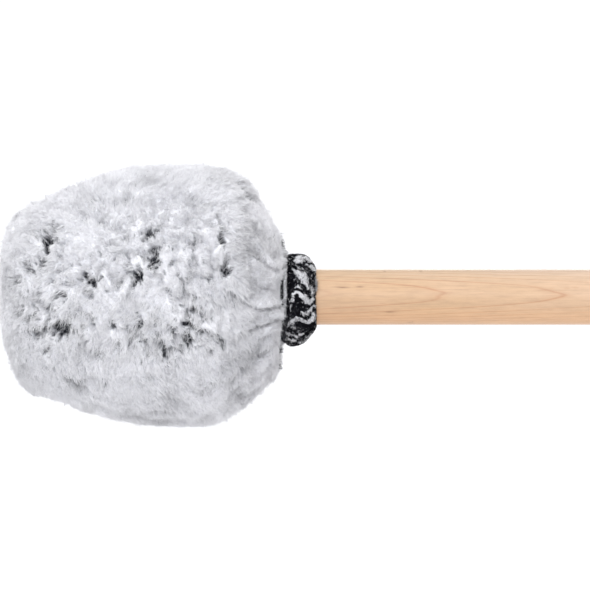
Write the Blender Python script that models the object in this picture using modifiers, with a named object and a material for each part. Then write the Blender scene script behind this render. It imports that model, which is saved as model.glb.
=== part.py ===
"""Gong mallet: a large soft striking head of white fleece over a weighted, padded wooden core, on a straight
maple handle, with the fleece drawn in and bound round the handle and covered by a marled fabric collar.

Metres, +Z up. The mallet lies with its handle level along X, the butt towards +X and the head towards -X, and the
bottom of the head flattened where the soft pile rests on z = 0. Every turned piece is measured by its station s,
the distance along the handle's axis from the very front of the head, and by its radius from that axis.
"""

import math

import bmesh
import bpy
import numpy as np

MM = 0.001

# ---------------------------------------------------------------- driving dimensions (millimetres)
LENGTH = 381.0  # front of the head to the butt
AXIS_HEIGHT = 60.0  # the handle's axis above the surface that the head rests on
GAP = 0.3  # between neighbouring pieces

HANDLE_R = 12.7  # a 1 inch dowel
HANDLE_FRONT = 54.3
BUTT_ROUND = 4.0
PILOT_R, PILOT_END = 3.4, 80.0

HUB_R, HUB_BORE_R = 23.7, 13.0
HUB_FRONT, HUB_REAR = 36.0, 99.0
POCKET_R = 20.3
FRONT_POCKET_END, REAR_POCKET_START = 54.0, 91.0

WEIGHT_R = 20.0
SCREW_HEAD_AT, SCREW_HEAD_T, SCREW_SHANK_R, SCREW_TIP = 37.0, 4.2, 2.5, 78.5
WASHER_R, WASHER_T = 9.0, 1.5

PIN_AT, PIN_R, PIN_HALF = 85.6, 3.0, 23.0

WEIGHT_SCREW_PITCH_R = 16.65
WEIGHT_SCREW_ANGLES = (90.0, 210.0, 330.0)

FELT_T = 3.2
FOAM_T = 8.7
SOCK_T = 0.8
FLEECE_T = 11.0

NECK_START, NECK_END = 127.6, 140.0
NECK_SOCK_R = (13.0, 13.7)
NECK_FLEECE_R = (15.2, 17.4)
TIE_CORD_R, TIE_CORD_AT = 0.9, 128.9
EDGE_R, EDGE_AT = 0.75, 130.85
COLLAR_START, COLLAR_END = 131.9, 144.4

# Stations (s, radius) of the head's outside, from the blunt front to the neck. The barrel is widest behind its
# middle, and its back turns in quickly to the neck.
HEAD_STATIONS = (
    (0.0, 12.0),
    (1.4, 22.5),
    (4.0, 30.8),
    (8.7, 38.6),
    (13.3, 43.0),
    (22.4, 47.6),
    (31.6, 51.6),
    (40.7, 54.7),
    (50.0, 57.5),
    (60.0, 59.6),
    (70.0, 60.9),
    (80.0, 61.5),
    (89.0, 61.4),
    (96.0, 60.4),
    (102.5, 58.6),
    (109.0, 55.2),
    (114.0, 51.4),
    (118.5, 46.3),
    (123.0, 39.3),
    (126.5, 32.0),
    (128.6, 25.5),
)

# Sides of the turned pieces: the handle and the hub, the soft layers, and the small pieces.
FINE = 48
ROUND = 36
SMALL = 28

# ---------------------------------------------------------------- a clean scene
for old in list(bpy.data.objects):
    bpy.data.objects.remove(old, do_unlink=True)

scene = bpy.context.scene
mallet = bpy.data.collections.new("gong_mallet")
scene.collection.children.link(mallet)
cutters = bpy.data.collections.new("cutters")
scene.collection.children.link(cutters)

# The handle's axis: its own +Z runs along world +X, from the front of the head to the butt.
axis = bpy.data.objects.new("mallet_axis", None)
axis.empty_display_size = 0.05
axis.location = (-LENGTH / 2 * MM, 0.0, AXIS_HEIGHT * MM)
axis.rotation_euler = (0.0, math.pi / 2, 0.0)
mallet.objects.link(axis)


# ---------------------------------------------------------------- materials
def material(name, colour, roughness, metallic=0.0):
    made = bpy.data.materials.new(name)
    made.use_nodes = True
    shader = made.node_tree.nodes["Principled BSDF"]
    shader.inputs["Base Color"].default_value = (*colour, 1.0)
    shader.inputs["Roughness"].default_value = roughness
    shader.inputs["Metallic"].default_value = metallic
    made.diffuse_color = (*colour, 1.0)
    return made


MAPLE = material("maple", (0.79, 0.57, 0.38), 0.42)
HARDWOOD = material("core_hardwood", (0.62, 0.44, 0.27), 0.6)
DOWEL = material("dowel_wood", (0.70, 0.52, 0.33), 0.6)
STEEL = material("weight_steel", (0.45, 0.46, 0.48), 0.45, 1.0)
ZINC = material("zinc_steel", (0.66, 0.66, 0.64), 0.35, 1.0)
FELT = material("grey_felt", (0.45, 0.45, 0.44), 0.95)
FOAM = material("foam", (0.72, 0.70, 0.58), 0.95)
BATTING = material("batting", (0.82, 0.82, 0.80), 0.97)
KNIT = material("lining_knit", (0.75, 0.74, 0.70), 0.9)
TWINE = material("waxed_twine", (0.50, 0.42, 0.28), 0.7)
FLEECE = material("white_fleece", (0.72, 0.72, 0.74), 0.95)
BLACK_CORD = material("black_cord", (0.015, 0.016, 0.02), 0.8)
EDGING = material("grey_edging", (0.42, 0.43, 0.45), 0.95)
MARL = material("marled_plush", (0.12, 0.12, 0.13), 0.95)


# ---------------------------------------------------------------- tools of the trade
def place(obj, look, where=mallet):
    where.objects.link(obj)
    obj.parent = axis
    if look is not None:
        obj.data.materials.append(look)
    return obj


def turned(name, profile, look, steps=SMALL, closed=True, where=mallet):
    """A piece turned about the handle's axis. The profile is (s, radius) pairs: its outer side from the butt end to
    the front, then, on a ring, its inner side back. A solid's profile starts and ends on the axis."""
    mesh = bpy.data.meshes.new(name)
    base = min(s for s, _ in profile)
    points = [(r * MM, 0.0, (s - base) * MM) for s, r in profile]
    edges = [(i, i + 1) for i in range(len(points) - 1)]
    if closed:
        edges.append((len(points) - 1, 0))
    mesh.from_pydata(points, edges, [])
    obj = place(bpy.data.objects.new(name, mesh), look, where)
    obj.location = (0.0, 0.0, base * MM)
    screw = obj.modifiers.new("turn", "SCREW")
    screw.axis = "Z"
    screw.angle = 2 * math.pi
    screw.steps = screw.render_steps = steps
    screw.use_merge_vertices = True
    screw.merge_threshold = 0.00001
    screw.use_smooth_shade = True
    return obj


def ring(name, start, end, inner, outer, look, steps=SMALL):
    """A plain tube or washer."""
    return turned(name, [(end, outer), (start, outer), (start, inner), (end, inner)], look, steps)


def cutting(obj):
    obj.hide_render = True
    obj.display_type = "WIRE"
    return obj


def drill(name, location, radius, depth, direction="s", sides=20):
    """A straight drill, in the axis frame: along the handle ("s") or across it ("y")."""
    mesh = bpy.data.meshes.new(name)
    made = bmesh.new()
    bmesh.ops.create_cone(
        made, cap_ends=True, segments=sides, radius1=radius * MM, radius2=radius * MM, depth=depth * MM
    )
    made.to_mesh(mesh)
    made.free()
    obj = place(bpy.data.objects.new(name, mesh), None, cutters)
    obj.location = tuple(value * MM for value in location)
    if direction == "y":
        obj.rotation_euler = (math.pi / 2, 0.0, 0.0)
    return cutting(obj)


def cut(obj, cutter):
    boolean = obj.modifiers.new("cut_" + cutter.name, "BOOLEAN")
    boolean.operation = "DIFFERENCE"
    boolean.solver = "EXACT"
    boolean.object = cutter


def arc(centre_s, centre_r, radius, start, end, count):
    """Points round part of a circle in the (s, radius) plane, with angles in degrees from +s towards +radius."""
    for i in range(count + 1):
        angle = math.radians(start + (end - start) * i / count)
        yield centre_s + radius * math.cos(angle), centre_r + radius * math.sin(angle)


def smooth(stations, spacing):
    """A smooth curve through the stations (centripetal Catmull-Rom), with points about one spacing apart."""
    pts = np.array(stations, float)
    pts = np.vstack([2 * pts[0] - pts[1], pts, 2 * pts[-1] - pts[-2]])
    out = []
    for i in range(1, len(pts) - 2):
        p0, p1, p2, p3 = pts[i - 1 : i + 3]
        t0 = 0.0
        t1 = t0 + np.linalg.norm(p1 - p0) ** 0.5
        t2 = t1 + np.linalg.norm(p2 - p1) ** 0.5
        t3 = t2 + np.linalg.norm(p3 - p2) ** 0.5
        n = max(1, round(np.linalg.norm(p2 - p1) / spacing))
        for k in range(n):
            t = t1 + (t2 - t1) * k / n
            a1 = (t1 - t) / (t1 - t0) * p0 + (t - t0) / (t1 - t0) * p1
            a2 = (t2 - t) / (t2 - t1) * p1 + (t - t1) / (t2 - t1) * p2
            a3 = (t3 - t) / (t3 - t2) * p2 + (t - t2) / (t3 - t2) * p3
            b1 = (t2 - t) / (t2 - t0) * a1 + (t - t0) / (t2 - t0) * a2
            b2 = (t3 - t) / (t3 - t1) * a2 + (t - t1) / (t3 - t1) * a3
            out.append((t2 - t) / (t2 - t1) * b1 + (t - t1) / (t2 - t1) * b2)
    out.append(pts[-2])
    return np.array(out)


def moved_in(points, distance):
    """The curve moved square to itself, into the head, by the distance, with any fold-back trimmed."""
    slope = np.gradient(points, axis=0)
    slope /= np.linalg.norm(slope, axis=1)[:, None]
    inward = np.stack([slope[:, 1], -slope[:, 0]], axis=1)
    moved = points + distance * inward
    # A point nearer to the outside than the distance belongs to a fold.
    keep = []
    for p in moved:
        nearest = np.linalg.norm(points - p, axis=1).min()
        keep.append(p[1] > 0.4 and nearest > distance * 0.985)
    return moved[np.array(keep)]


def hollow(name, outside, inside, look, steps=ROUND):
    """A skin closed over the front and open at the neck. Its outside runs from the neck to the axis in front, its
    inside from the axis in front to the neck."""
    return turned(name, inside + outside, look, steps, closed=False)


# ---------------------------------------------------------------- the head's outline and its layers
outline = smooth(HEAD_STATIONS, 8.0)
inner_form = smooth(HEAD_STATIONS[::2], 50.0)  # the layers inside need fewer points
fleece_inside = moved_in(inner_form, FLEECE_T)
sock_outside = moved_in(inner_form, FLEECE_T + GAP)
sock_inside = moved_in(inner_form, FLEECE_T + GAP + SOCK_T)
batting_outside = moved_in(inner_form, FLEECE_T + SOCK_T + 2 * GAP)


def layer(curve, end, pole):
    """A layer's curve from its pole on the axis in front to exactly the station where it ends, front to back."""
    rear = curve[:, 0].argmax()
    stop = next((i for i in range(len(curve)) if curve[i, 0] > end), rear)
    a, b = curve[stop - 1], curve[stop]
    last = a + (b - a) * min(1.0, (end - a[0]) / (b[0] - a[0]))
    return [(pole, 0.0)] + [(float(s), float(r)) for s, r in curve[:stop]] + [(float(last[0]), float(last[1]))]


# ---------------------------------------------------------------- the handle
handle = turned(
    "handle",
    [(LENGTH, 0.0)]
    + list(arc(LENGTH - BUTT_ROUND, HANDLE_R - BUTT_ROUND, BUTT_ROUND, 0.0, 90.0, 5))
    + [
        (HANDLE_FRONT + 1.2, HANDLE_R),
        (HANDLE_FRONT, HANDLE_R - 1.2),
        (HANDLE_FRONT, PILOT_R),
        (PILOT_END - 2.5, PILOT_R),
        (PILOT_END, 0.0),
    ],
    MAPLE,
    FINE,
    closed=False,
)
cut(handle, drill("cross_drill_handle", (0.0, 0.0, PIN_AT), PIN_R + GAP, 40.0, "y"))

# ---------------------------------------------------------------- the weighted core
hub = turned(
    "core_hub",
    [
        (HUB_REAR, HUB_R - 1.5),
        (HUB_REAR - 1.5, HUB_R),
        (HUB_FRONT + 1.5, HUB_R),
        (HUB_FRONT, HUB_R - 1.5),
        (HUB_FRONT, POCKET_R),
        (FRONT_POCKET_END, POCKET_R),
        (FRONT_POCKET_END, HUB_BORE_R),
        (REAR_POCKET_START, HUB_BORE_R),
        (REAR_POCKET_START, POCKET_R),
        (HUB_REAR, POCKET_R),
    ],
    HARDWOOD,
    ROUND,
)
cut(hub, drill("cross_drill_hub", (0.0, 0.0, PIN_AT), PIN_R + GAP, 60.0, "y"))

disc_back = FRONT_POCKET_END - GAP
recess_end = SCREW_HEAD_AT + SCREW_HEAD_T + GAP + WASHER_T + GAP
turned(
    "front_weight",
    [
        (disc_back, WEIGHT_R - 0.6),
        (disc_back - 0.6, WEIGHT_R),
        (HUB_FRONT + GAP + 0.6, WEIGHT_R),
        (HUB_FRONT + GAP, WEIGHT_R - 0.6),
        (HUB_FRONT + GAP, WASHER_R + 0.6),
        (recess_end, WASHER_R + 0.6),
        (recess_end, PILOT_R),
        (disc_back, PILOT_R),
    ],
    STEEL,
)
ring("screw_washer", recess_end - GAP - WASHER_T, recess_end - GAP, PILOT_R, WASHER_R, ZINC, 24)

# The lag screw: a threaded shank with rounded crests and a point, and a six-sided head joined to it.
crests = [(SCREW_TIP, 0.0), (SCREW_TIP - 4.5, SCREW_SHANK_R)]
crest = SCREW_TIP - 6.0
while crest > 55.0:
    crests += [(crest, SCREW_SHANK_R + 0.55), (crest - 1.3, SCREW_SHANK_R)]
    crest -= 2.6
lag_screw = turned(
    "lag_screw",
    crests + [(SCREW_HEAD_AT + 1.0, SCREW_SHANK_R), (SCREW_HEAD_AT + 1.0, 0.0)],
    ZINC,
    20,
    closed=False,
)
head_mesh = bpy.data.meshes.new("lag_screw_head")
head_shape = bmesh.new()
bmesh.ops.create_cone(
    head_shape, cap_ends=True, segments=6, radius1=5.77 * MM, radius2=5.77 * MM, depth=SCREW_HEAD_T * MM
)
head_shape.to_mesh(head_mesh)
head_shape.free()
head = place(bpy.data.objects.new("lag_screw_head", head_mesh), None, cutters)
head.location = (0.0, 0.0, (SCREW_HEAD_AT + SCREW_HEAD_T / 2) * MM)
cutting(head)
joined = lag_screw.modifiers.new("head", "BOOLEAN")
joined.operation = "UNION"
joined.solver = "EXACT"
joined.object = head

rear_weight = ring(
    "rear_weight", REAR_POCKET_START + GAP, HUB_REAR - GAP, HUB_BORE_R + GAP, WEIGHT_R, STEEL
)

pin_mesh = bpy.data.meshes.new("cross_pin")
pin_shape = bmesh.new()
bmesh.ops.create_cone(
    pin_shape, cap_ends=True, segments=20, radius1=PIN_R * MM, radius2=PIN_R * MM, depth=2 * PIN_HALF * MM
)
pin_shape.to_mesh(pin_mesh)
pin_shape.free()
pin_mesh.shade_smooth()
pin_mesh.set_sharp_from_angle(angle=math.radians(30))
pin = place(bpy.data.objects.new("cross_pin", pin_mesh), DOWEL)
pin.location = (0.0, 0.0, PIN_AT * MM)
pin.rotation_euler = (math.pi / 2, 0.0, 0.0)

# Three wood screws hold the rear weight in its pocket. Their heads lie below its face.
for number, angle in enumerate(WEIGHT_SCREW_ANGLES, 1):
    across = WEIGHT_SCREW_PITCH_R * math.sin(math.radians(angle))
    along = WEIGHT_SCREW_PITCH_R * math.cos(math.radians(angle))
    spot = (-across, along)
    screw = turned(
        f"weight_screw_{number}",
        [
            (HUB_REAR - 1.1, 0.0),
            (HUB_REAR - 1.1, 2.0),
            (HUB_REAR - 1.7, 2.6),
            (HUB_REAR - 2.8, 2.6),
            (HUB_REAR - 2.8, 1.5),
            (HUB_REAR - 19.5, 1.5),
            (HUB_REAR - 22.0, 0.0),
        ],
        ZINC,
        16,
        closed=False,
    )
    screw.location.x = spot[0] * MM
    screw.location.y = spot[1] * MM
    cut(rear_weight, drill(f"weight_hole_{number}", (*spot, HUB_REAR - 5.0), 1.8, 12.0, sides=16))
    cut(rear_weight, drill(f"weight_sink_{number}", (*spot, HUB_REAR - 1.1), 2.9, 4.0, sides=16))
    pilot = (HUB_REAR - 22.6, REAR_POCKET_START + 0.5)
    cut(hub, drill(f"pilot_{number}", (*spot, sum(pilot) / 2), 1.8, pilot[1] - pilot[0], sides=16))

# ---------------------------------------------------------------- felt and foam round the core
felt_in = HUB_R + GAP
felt_out = felt_in + FELT_T
ring("core_felt", HUB_FRONT, HUB_REAR, felt_in, felt_out, FELT)
turned(
    "front_felt",
    [
        (HUB_FRONT - GAP, 0.0),
        (HUB_FRONT - GAP, felt_out),
        (HUB_FRONT - GAP - FELT_T, felt_out),
        (HUB_FRONT - GAP - FELT_T, 0.0),
    ],
    FELT,
    closed=False,
)
ring("rear_felt", HUB_REAR + GAP, HUB_REAR + GAP + FELT_T, HUB_BORE_R, felt_out, FELT)

foam_in = felt_out + GAP
foam_out = foam_in + FOAM_T
foam_front = HUB_FRONT - GAP - FELT_T
foam_rear = HUB_REAR + GAP + FELT_T
ring("foam_jacket", foam_front, foam_rear, foam_in, foam_out, FOAM)
cap_front = foam_front - GAP - 9.0
turned(
    "front_foam",
    [
        (foam_front - GAP, 0.0),
        (foam_front - GAP, foam_out),
        (foam_front - GAP - 2.5, foam_out - 1.0),
        (cap_front + 1.2, foam_out - 8.0),
        (cap_front, foam_out - 11.5),
        (cap_front, 0.0),
    ],
    FOAM,
    closed=False,
)
ring_rear = foam_rear + GAP + 6.0
turned(
    "rear_foam",
    [
        (ring_rear, foam_out - 8.0),
        (foam_rear + GAP + 3.0, foam_out - 1.5),
        (foam_rear + GAP, foam_out),
        (foam_rear + GAP, HUB_BORE_R),
        (ring_rear, HUB_BORE_R),
    ],
    FOAM,
)

# ---------------------------------------------------------------- batting, lining and fleece
# The batting fills what is left between the foam and the lining. It closes over the front.
foam_clear = foam_out + GAP
batting_end = ring_rear + GAP + 2.4
batting_part = layer(batting_outside, batting_end, FLEECE_T + SOCK_T + 2 * GAP)
hollow(
    "batting",
    [(batting_end, HUB_BORE_R + 0.9)] + list(reversed(batting_part)),
    [
        (cap_front - GAP, 0.0),
        (cap_front - GAP, foam_out - 11.3),
        (cap_front + 0.9, foam_out - 7.6),
        (foam_front - GAP - 2.8, foam_clear - 0.7),
        (foam_front - GAP, foam_clear),
        (foam_rear + GAP + 0.2, foam_clear),
        (foam_rear + GAP + 3.2, foam_clear - 1.2),
        (ring_rear + GAP, foam_out - 7.4),
        (ring_rear + GAP, HUB_BORE_R + 0.9),
    ],
    BATTING,
)

# The lining is a thin knitted sock with its mouth gathered to a sleeve on the handle.
sock_bottom = batting_end + GAP
sock_end = sock_bottom + SOCK_T
hollow(
    "lining_sock",
    [
        (NECK_END, NECK_SOCK_R[1]),
        (sock_end + 1.5, NECK_SOCK_R[1]),
        (sock_end, NECK_SOCK_R[1] + 1.5),
    ]
    + list(reversed(layer(sock_outside, sock_end, FLEECE_T + GAP))),
    layer(sock_inside, sock_bottom, FLEECE_T + GAP + SOCK_T)
    + [
        (sock_bottom, NECK_SOCK_R[0]),
        (NECK_END, NECK_SOCK_R[0]),
    ],
    KNIT,
)


def loop(name, station, tube_r, at_r, look, turns=1, pitch=0.0):
    """A cord wound round the neck: closed when it makes one turn, a helix when it makes more."""
    curve = bpy.data.curves.new(name, "CURVE")
    curve.dimensions = "3D"
    curve.bevel_depth = tube_r * MM
    curve.bevel_resolution = 2
    curve.use_fill_caps = turns > 1
    spline = curve.splines.new("POLY")
    per_turn = ROUND if turns == 1 else 24
    count = per_turn if turns == 1 else per_turn * turns + 1
    spline.points.add(count - 1)
    for i, point in enumerate(spline.points):
        angle = 2 * math.pi * i / per_turn
        point.co = (
            at_r * MM * math.cos(angle),
            at_r * MM * math.sin(angle),
            pitch * MM * (i / per_turn - turns / 2),
            1.0,
        )
    spline.use_cyclic_u = turns == 1
    obj = place(bpy.data.objects.new(name, curve), look)
    obj.location = (0.0, 0.0, station * MM)
    return obj


loop("lining_twine", 134.0, 0.45, NECK_SOCK_R[1] + GAP + 0.45, TWINE, turns=3, pitch=1.3)

# The fleece: pile and backing together, one thick skin, open at the neck, where it is gathered to a sleeve.
fleece_bottom = sock_end + GAP
cover = hollow(
    "fleece_cover",
    [
        (NECK_END, NECK_FLEECE_R[1]),
        (NECK_START, NECK_FLEECE_R[1]),
        (NECK_START, NECK_FLEECE_R[1] + 2.4),
        (128.5, NECK_FLEECE_R[1] + 3.6),
    ]
    + [(float(s), float(r)) for s, r in reversed(outline)]
    + [(0.0, 0.0)],
    layer(fleece_inside, fleece_bottom, FLEECE_T)
    + [
        (fleece_bottom, NECK_FLEECE_R[0] + 1.2),
        (fleece_bottom + 1.2, NECK_FLEECE_R[0]),
        (NECK_END, NECK_FLEECE_R[0]),
    ],
    FLEECE,
)
floor_mesh = bpy.data.meshes.new("resting_flat")
floor_shape = bmesh.new()
bmesh.ops.create_cube(floor_shape, size=1.0)
bmesh.ops.scale(floor_shape, vec=(0.3, 0.2, 0.04), verts=floor_shape.verts)
floor_shape.to_mesh(floor_mesh)
floor_shape.free()
flat = bpy.data.objects.new("resting_flat", floor_mesh)
flat.location = (-0.1, 0.0, -0.02)
cutters.objects.link(flat)
cutting(flat)
cut(cover, flat)

# ---------------------------------------------------------------- the bound neck and the collar
loop("neck_tie_cord", TIE_CORD_AT, TIE_CORD_R, NECK_FLEECE_R[1] + GAP + TIE_CORD_R, BLACK_CORD)
loop("collar_edging", EDGE_AT, EDGE_R, NECK_FLEECE_R[1] + GAP + EDGE_R, EDGING)

# The collar: a soft rolled band, fullest near the head and closing down on the handle behind the gathered fleece.
collar_outside = smooth(
    (
        (COLLAR_END, HANDLE_R + 0.9),
        (143.6, 15.0),
        (142.0, 17.0),
        (139.4, 19.4),
        (136.0, 21.0),
        (133.0, 21.0),
        (COLLAR_START, 19.8),
    ),
    1.6,
)
turned(
    "collar_band",
    [(float(s), float(r)) for s, r in collar_outside]
    + [
        (COLLAR_START, NECK_FLEECE_R[1] + GAP),
        (NECK_END + GAP, NECK_FLEECE_R[1] + GAP),
        (NECK_END + GAP, HANDLE_R + GAP),
        (COLLAR_END, HANDLE_R + GAP),
    ],
    MARL,
    ROUND,
)

bpy.context.view_layer.update()
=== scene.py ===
"""The looks of the gong mallet: a shaggy white fleece head with dark partings, a bound neck, a marled plush collar
and a lacquered maple handle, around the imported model. Metres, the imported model's own frame.

Stations s run along the handle's axis from the front of the head, in millimetres here, and an angle of 0 is the
top of the head, 90 the side towards the camera, 180 the underside.
"""

import math

import bpy
import numpy as np
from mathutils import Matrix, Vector
from mathutils.kdtree import KDTree


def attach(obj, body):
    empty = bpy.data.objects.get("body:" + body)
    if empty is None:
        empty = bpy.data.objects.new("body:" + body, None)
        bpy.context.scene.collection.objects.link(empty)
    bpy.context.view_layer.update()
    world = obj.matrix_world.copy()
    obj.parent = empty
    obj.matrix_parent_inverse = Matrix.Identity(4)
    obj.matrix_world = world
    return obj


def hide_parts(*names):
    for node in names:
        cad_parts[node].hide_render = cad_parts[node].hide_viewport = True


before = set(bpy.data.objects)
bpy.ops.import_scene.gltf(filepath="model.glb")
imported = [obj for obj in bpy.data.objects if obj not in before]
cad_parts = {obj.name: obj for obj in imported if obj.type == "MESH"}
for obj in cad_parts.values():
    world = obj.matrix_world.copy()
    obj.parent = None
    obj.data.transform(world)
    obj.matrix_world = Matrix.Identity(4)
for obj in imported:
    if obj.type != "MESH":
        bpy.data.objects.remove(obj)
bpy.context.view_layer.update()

MM = 0.001
X_FRONT = -0.1905  # where station 0 is
AXIS_Z = 0.060
PIXEL = 0.45766  # millimetres to one pixel of the photograph, at the handle's axis
MID_ROW = 297.5  # the row of the handle's axis
rng = np.random.default_rng(20)


# ================================================================ small tools
def station(px):
    return (px - 1.0) * PIXEL


def height(py):
    """Millimetres above the handle's axis."""
    return (MID_ROW - py) * PIXEL


def unit(v):
    return v / np.maximum(np.linalg.norm(v, axis=-1, keepdims=True), 1e-12)


def smoothstep(x, lo, hi):
    t = np.clip((x - lo) / (hi - lo), 0.0, 1.0)
    return t * t * (3 - 2 * t)


_lattices = {}


def noise3(p, scale, seed=0):
    """Smooth noise from -1 to 1 at points p (n, 3), with features about one scale wide."""
    if seed not in _lattices:
        _lattices[seed] = np.random.default_rng(1000 + seed).uniform(-1, 1, (32, 32, 32)).astype(np.float32)
    lattice = _lattices[seed]
    q = np.asarray(p, np.float64) / scale + 100.37 + 7.13 * seed
    cell = np.floor(q).astype(np.int64)
    f = q - cell
    f = f * f * (3 - 2 * f)
    total = 0.0
    for dx in (0, 1):
        for dy in (0, 1):
            for dz in (0, 1):
                w = (
                    (f[..., 0] if dx else 1 - f[..., 0])
                    * (f[..., 1] if dy else 1 - f[..., 1])
                    * (f[..., 2] if dz else 1 - f[..., 2])
                )
                total = total + w * lattice[
                    (cell[..., 0] + dx) % 32, (cell[..., 1] + dy) % 32, (cell[..., 2] + dz) % 32
                ]
    return total


def noise_vector(p, scale, seed=0):
    return np.stack([noise3(p, scale, seed), noise3(p, scale, seed + 1), noise3(p, scale, seed + 2)], axis=-1)


def catmull(stations, count):
    """A smooth curve through the points, as count points evenly spaced along it."""
    pts = np.array(stations, float)
    pts = np.vstack([2 * pts[0] - pts[1], pts, 2 * pts[-1] - pts[-2]])
    out = []
    for i in range(1, len(pts) - 2):
        p0, p1, p2, p3 = pts[i - 1 : i + 3]
        t1 = np.linalg.norm(p1 - p0) ** 0.5
        t2 = t1 + np.linalg.norm(p2 - p1) ** 0.5
        t3 = t2 + np.linalg.norm(p3 - p2) ** 0.5
        t = np.linspace(t1, t2, 24, endpoint=False)[:, None]
        a1 = (t1 - t) / t1 * p0 + t / t1 * p1
        a2 = (t2 - t) / (t2 - t1) * p1 + (t - t1) / (t2 - t1) * p2
        a3 = (t3 - t) / (t3 - t2) * p2 + (t - t2) / (t3 - t2) * p3
        b1 = (t2 - t) / t2 * a1 + t / t2 * a2
        b2 = (t3 - t) / (t3 - t1) * a2 + (t - t1) / (t3 - t1) * a3
        out.append((t2 - t) / (t2 - t1) * b1 + (t - t1) / (t2 - t1) * b2)
    out.append(pts[-2][None])
    fine = np.vstack(out)
    length = np.concatenate([[0], np.cumsum(np.linalg.norm(np.diff(fine, axis=0), axis=1))])
    even = np.linspace(0, length[-1], count)
    return np.stack([np.interp(even, length, fine[:, k]) for k in range(fine.shape[1])], axis=1)


def mesh_of(name, points, faces, material=None, uv=None, smooth=True):
    """A mesh object from arrays of points in metres and of triangles or quads. uv is one pair per face corner."""
    faces = np.ascontiguousarray(faces, np.int32)
    mesh = bpy.data.meshes.new(name)
    mesh.vertices.add(len(points))
    mesh.vertices.foreach_set("co", np.ascontiguousarray(points, np.float32).ravel())
    mesh.loops.add(faces.size)
    mesh.loops.foreach_set("vertex_index", faces.ravel())
    mesh.polygons.add(len(faces))
    mesh.polygons.foreach_set("loop_start", np.arange(0, faces.size, faces.shape[1], dtype=np.int32))
    mesh.update(calc_edges=True)
    mesh.polygons.foreach_set("use_smooth", np.full(len(faces), smooth))
    if uv is not None:
        layer = mesh.uv_layers.new(name="OFBake")
        layer.data.foreach_set("uv", np.ascontiguousarray(uv, np.float32).ravel())
    mesh.update()
    obj = bpy.data.objects.new(name, mesh)
    bpy.context.scene.collection.objects.link(obj)
    if material is not None:
        mesh.materials.append(material)
    return obj


def grid_faces(rows, columns, closed=True):
    """Quads of a grid whose columns go round. Points are row by row."""
    i, j = np.meshgrid(np.arange(rows - 1), np.arange(columns if closed else columns - 1), indexing="ij")
    k = (j + 1) % columns
    return np.stack([i * columns + j, i * columns + k, (i + 1) * columns + k, (i + 1) * columns + j], axis=-1).reshape(-1, 4)


def give(obj, attribute, values):
    made = obj.data.attributes.new(attribute, "FLOAT", "POINT")
    made.data.foreach_set("value", np.ascontiguousarray(values, np.float32))


# ================================================================ materials
def new_material(name):
    made = bpy.data.materials.new(name)
    made.use_nodes = True
    tree = made.node_tree
    shader = next(n for n in tree.nodes if n.type == "BSDF_PRINCIPLED")
    return made, tree, shader


def node(tree, kind, **settings):
    made = tree.nodes.new(kind)
    for key, value in settings.items():
        if key.startswith("in_"):
            made.inputs[key[3:].replace("_", " ")].default_value = value
        else:
            setattr(made, key, value)
    return made


def math_node(tree, operation, a, b=None, clamp=False):
    made = tree.nodes.new("ShaderNodeMath")
    made.operation = operation
    made.use_clamp = clamp
    for i, value in enumerate((a, b)):
        if value is None:
            continue
        if isinstance(value, (int, float)):
            made.inputs[i].default_value = value
        else:
            tree.links.new(value, made.inputs[i])
    return made.outputs[0]


def mix_colour(tree, factor, a, b, blend="MIX"):
    made = tree.nodes.new("ShaderNodeMix")
    made.data_type = "RGBA"
    made.blend_type = blend
    for socket, value in ((made.inputs["Factor"], factor), (made.inputs[6], a), (made.inputs[7], b)):
        if isinstance(value, (int, float)):
            socket.default_value = value
        elif isinstance(value, tuple):
            socket.default_value = (*value, 1.0)
        else:
            tree.links.new(value, socket)
    return made.outputs[2]


def ramp(tree, factor, stops, interpolation="LINEAR"):
    made = tree.nodes.new("ShaderNodeValToRGB")
    made.color_ramp.interpolation = interpolation
    elements = made.color_ramp.elements
    while len(elements) < len(stops):
        elements.new(0.5)
    for element, (place, colour) in zip(elements, stops):
        element.position = place
        element.color = (*colour, 1.0) if len(colour) == 3 else colour
    tree.links.new(factor, made.inputs["Fac"])
    return made.outputs["Color"]


def grey(value, blue=1.0):
    return (value, value, value * blue)


# ---------------------------------------------------------------- pile fibres: tone across, root to tip upwards
def fibre_material(name, root, middle, tip, dark, specular=0.1):
    """The map holds a fibre's tone across (0 dark yarn, 1 brightest) and its length upwards. The tone carries painted
    shade as well as the fibre's own colour, and the colour darkens towards the root as painted shade of the pile
    shading itself.
    """
    made, tree, shader = new_material(name)
    uv = node(tree, "ShaderNodeUVMap", uv_map="OFBake")
    split = node(tree, "ShaderNodeSeparateXYZ")
    tree.links.new(uv.outputs["UV"], split.inputs[0])
    # Darker towards the root: painted shade of the pile shading itself.
    along = ramp(tree, split.outputs["Y"], [(0.0, root), (0.35, middle), (0.8, tip), (1.0, tip)])
    tone = ramp(tree, split.outputs["X"], [(0.0, grey(0.0)), (0.22, grey(0.03)), (0.5, grey(0.55)), (0.75, grey(0.93)), (0.9, grey(0.995)), (1.0, grey(1.0))])
    colour = mix_colour(tree, tone, dark, along)
    tree.links.new(colour, shader.inputs["Base Color"])
    shader.inputs["Roughness"].default_value = 1.0
    shader.inputs["Specular IOR Level"].default_value = specular
    return made


# Root colours darker than the middle and tips: painted shade within the pile.
FUR = fibre_material(
    "fleece_pile", (0.966, 0.965, 0.980), (0.983, 0.981, 0.994), (0.977, 0.975, 0.987), (0.030, 0.031, 0.038)
)
PLUSH = fibre_material(
    "collar_pile", (0.42, 0.42, 0.435), (0.80, 0.80, 0.82), (0.985, 0.98, 0.995), (0.0025, 0.0025, 0.005), specular=0.02
)


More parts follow.
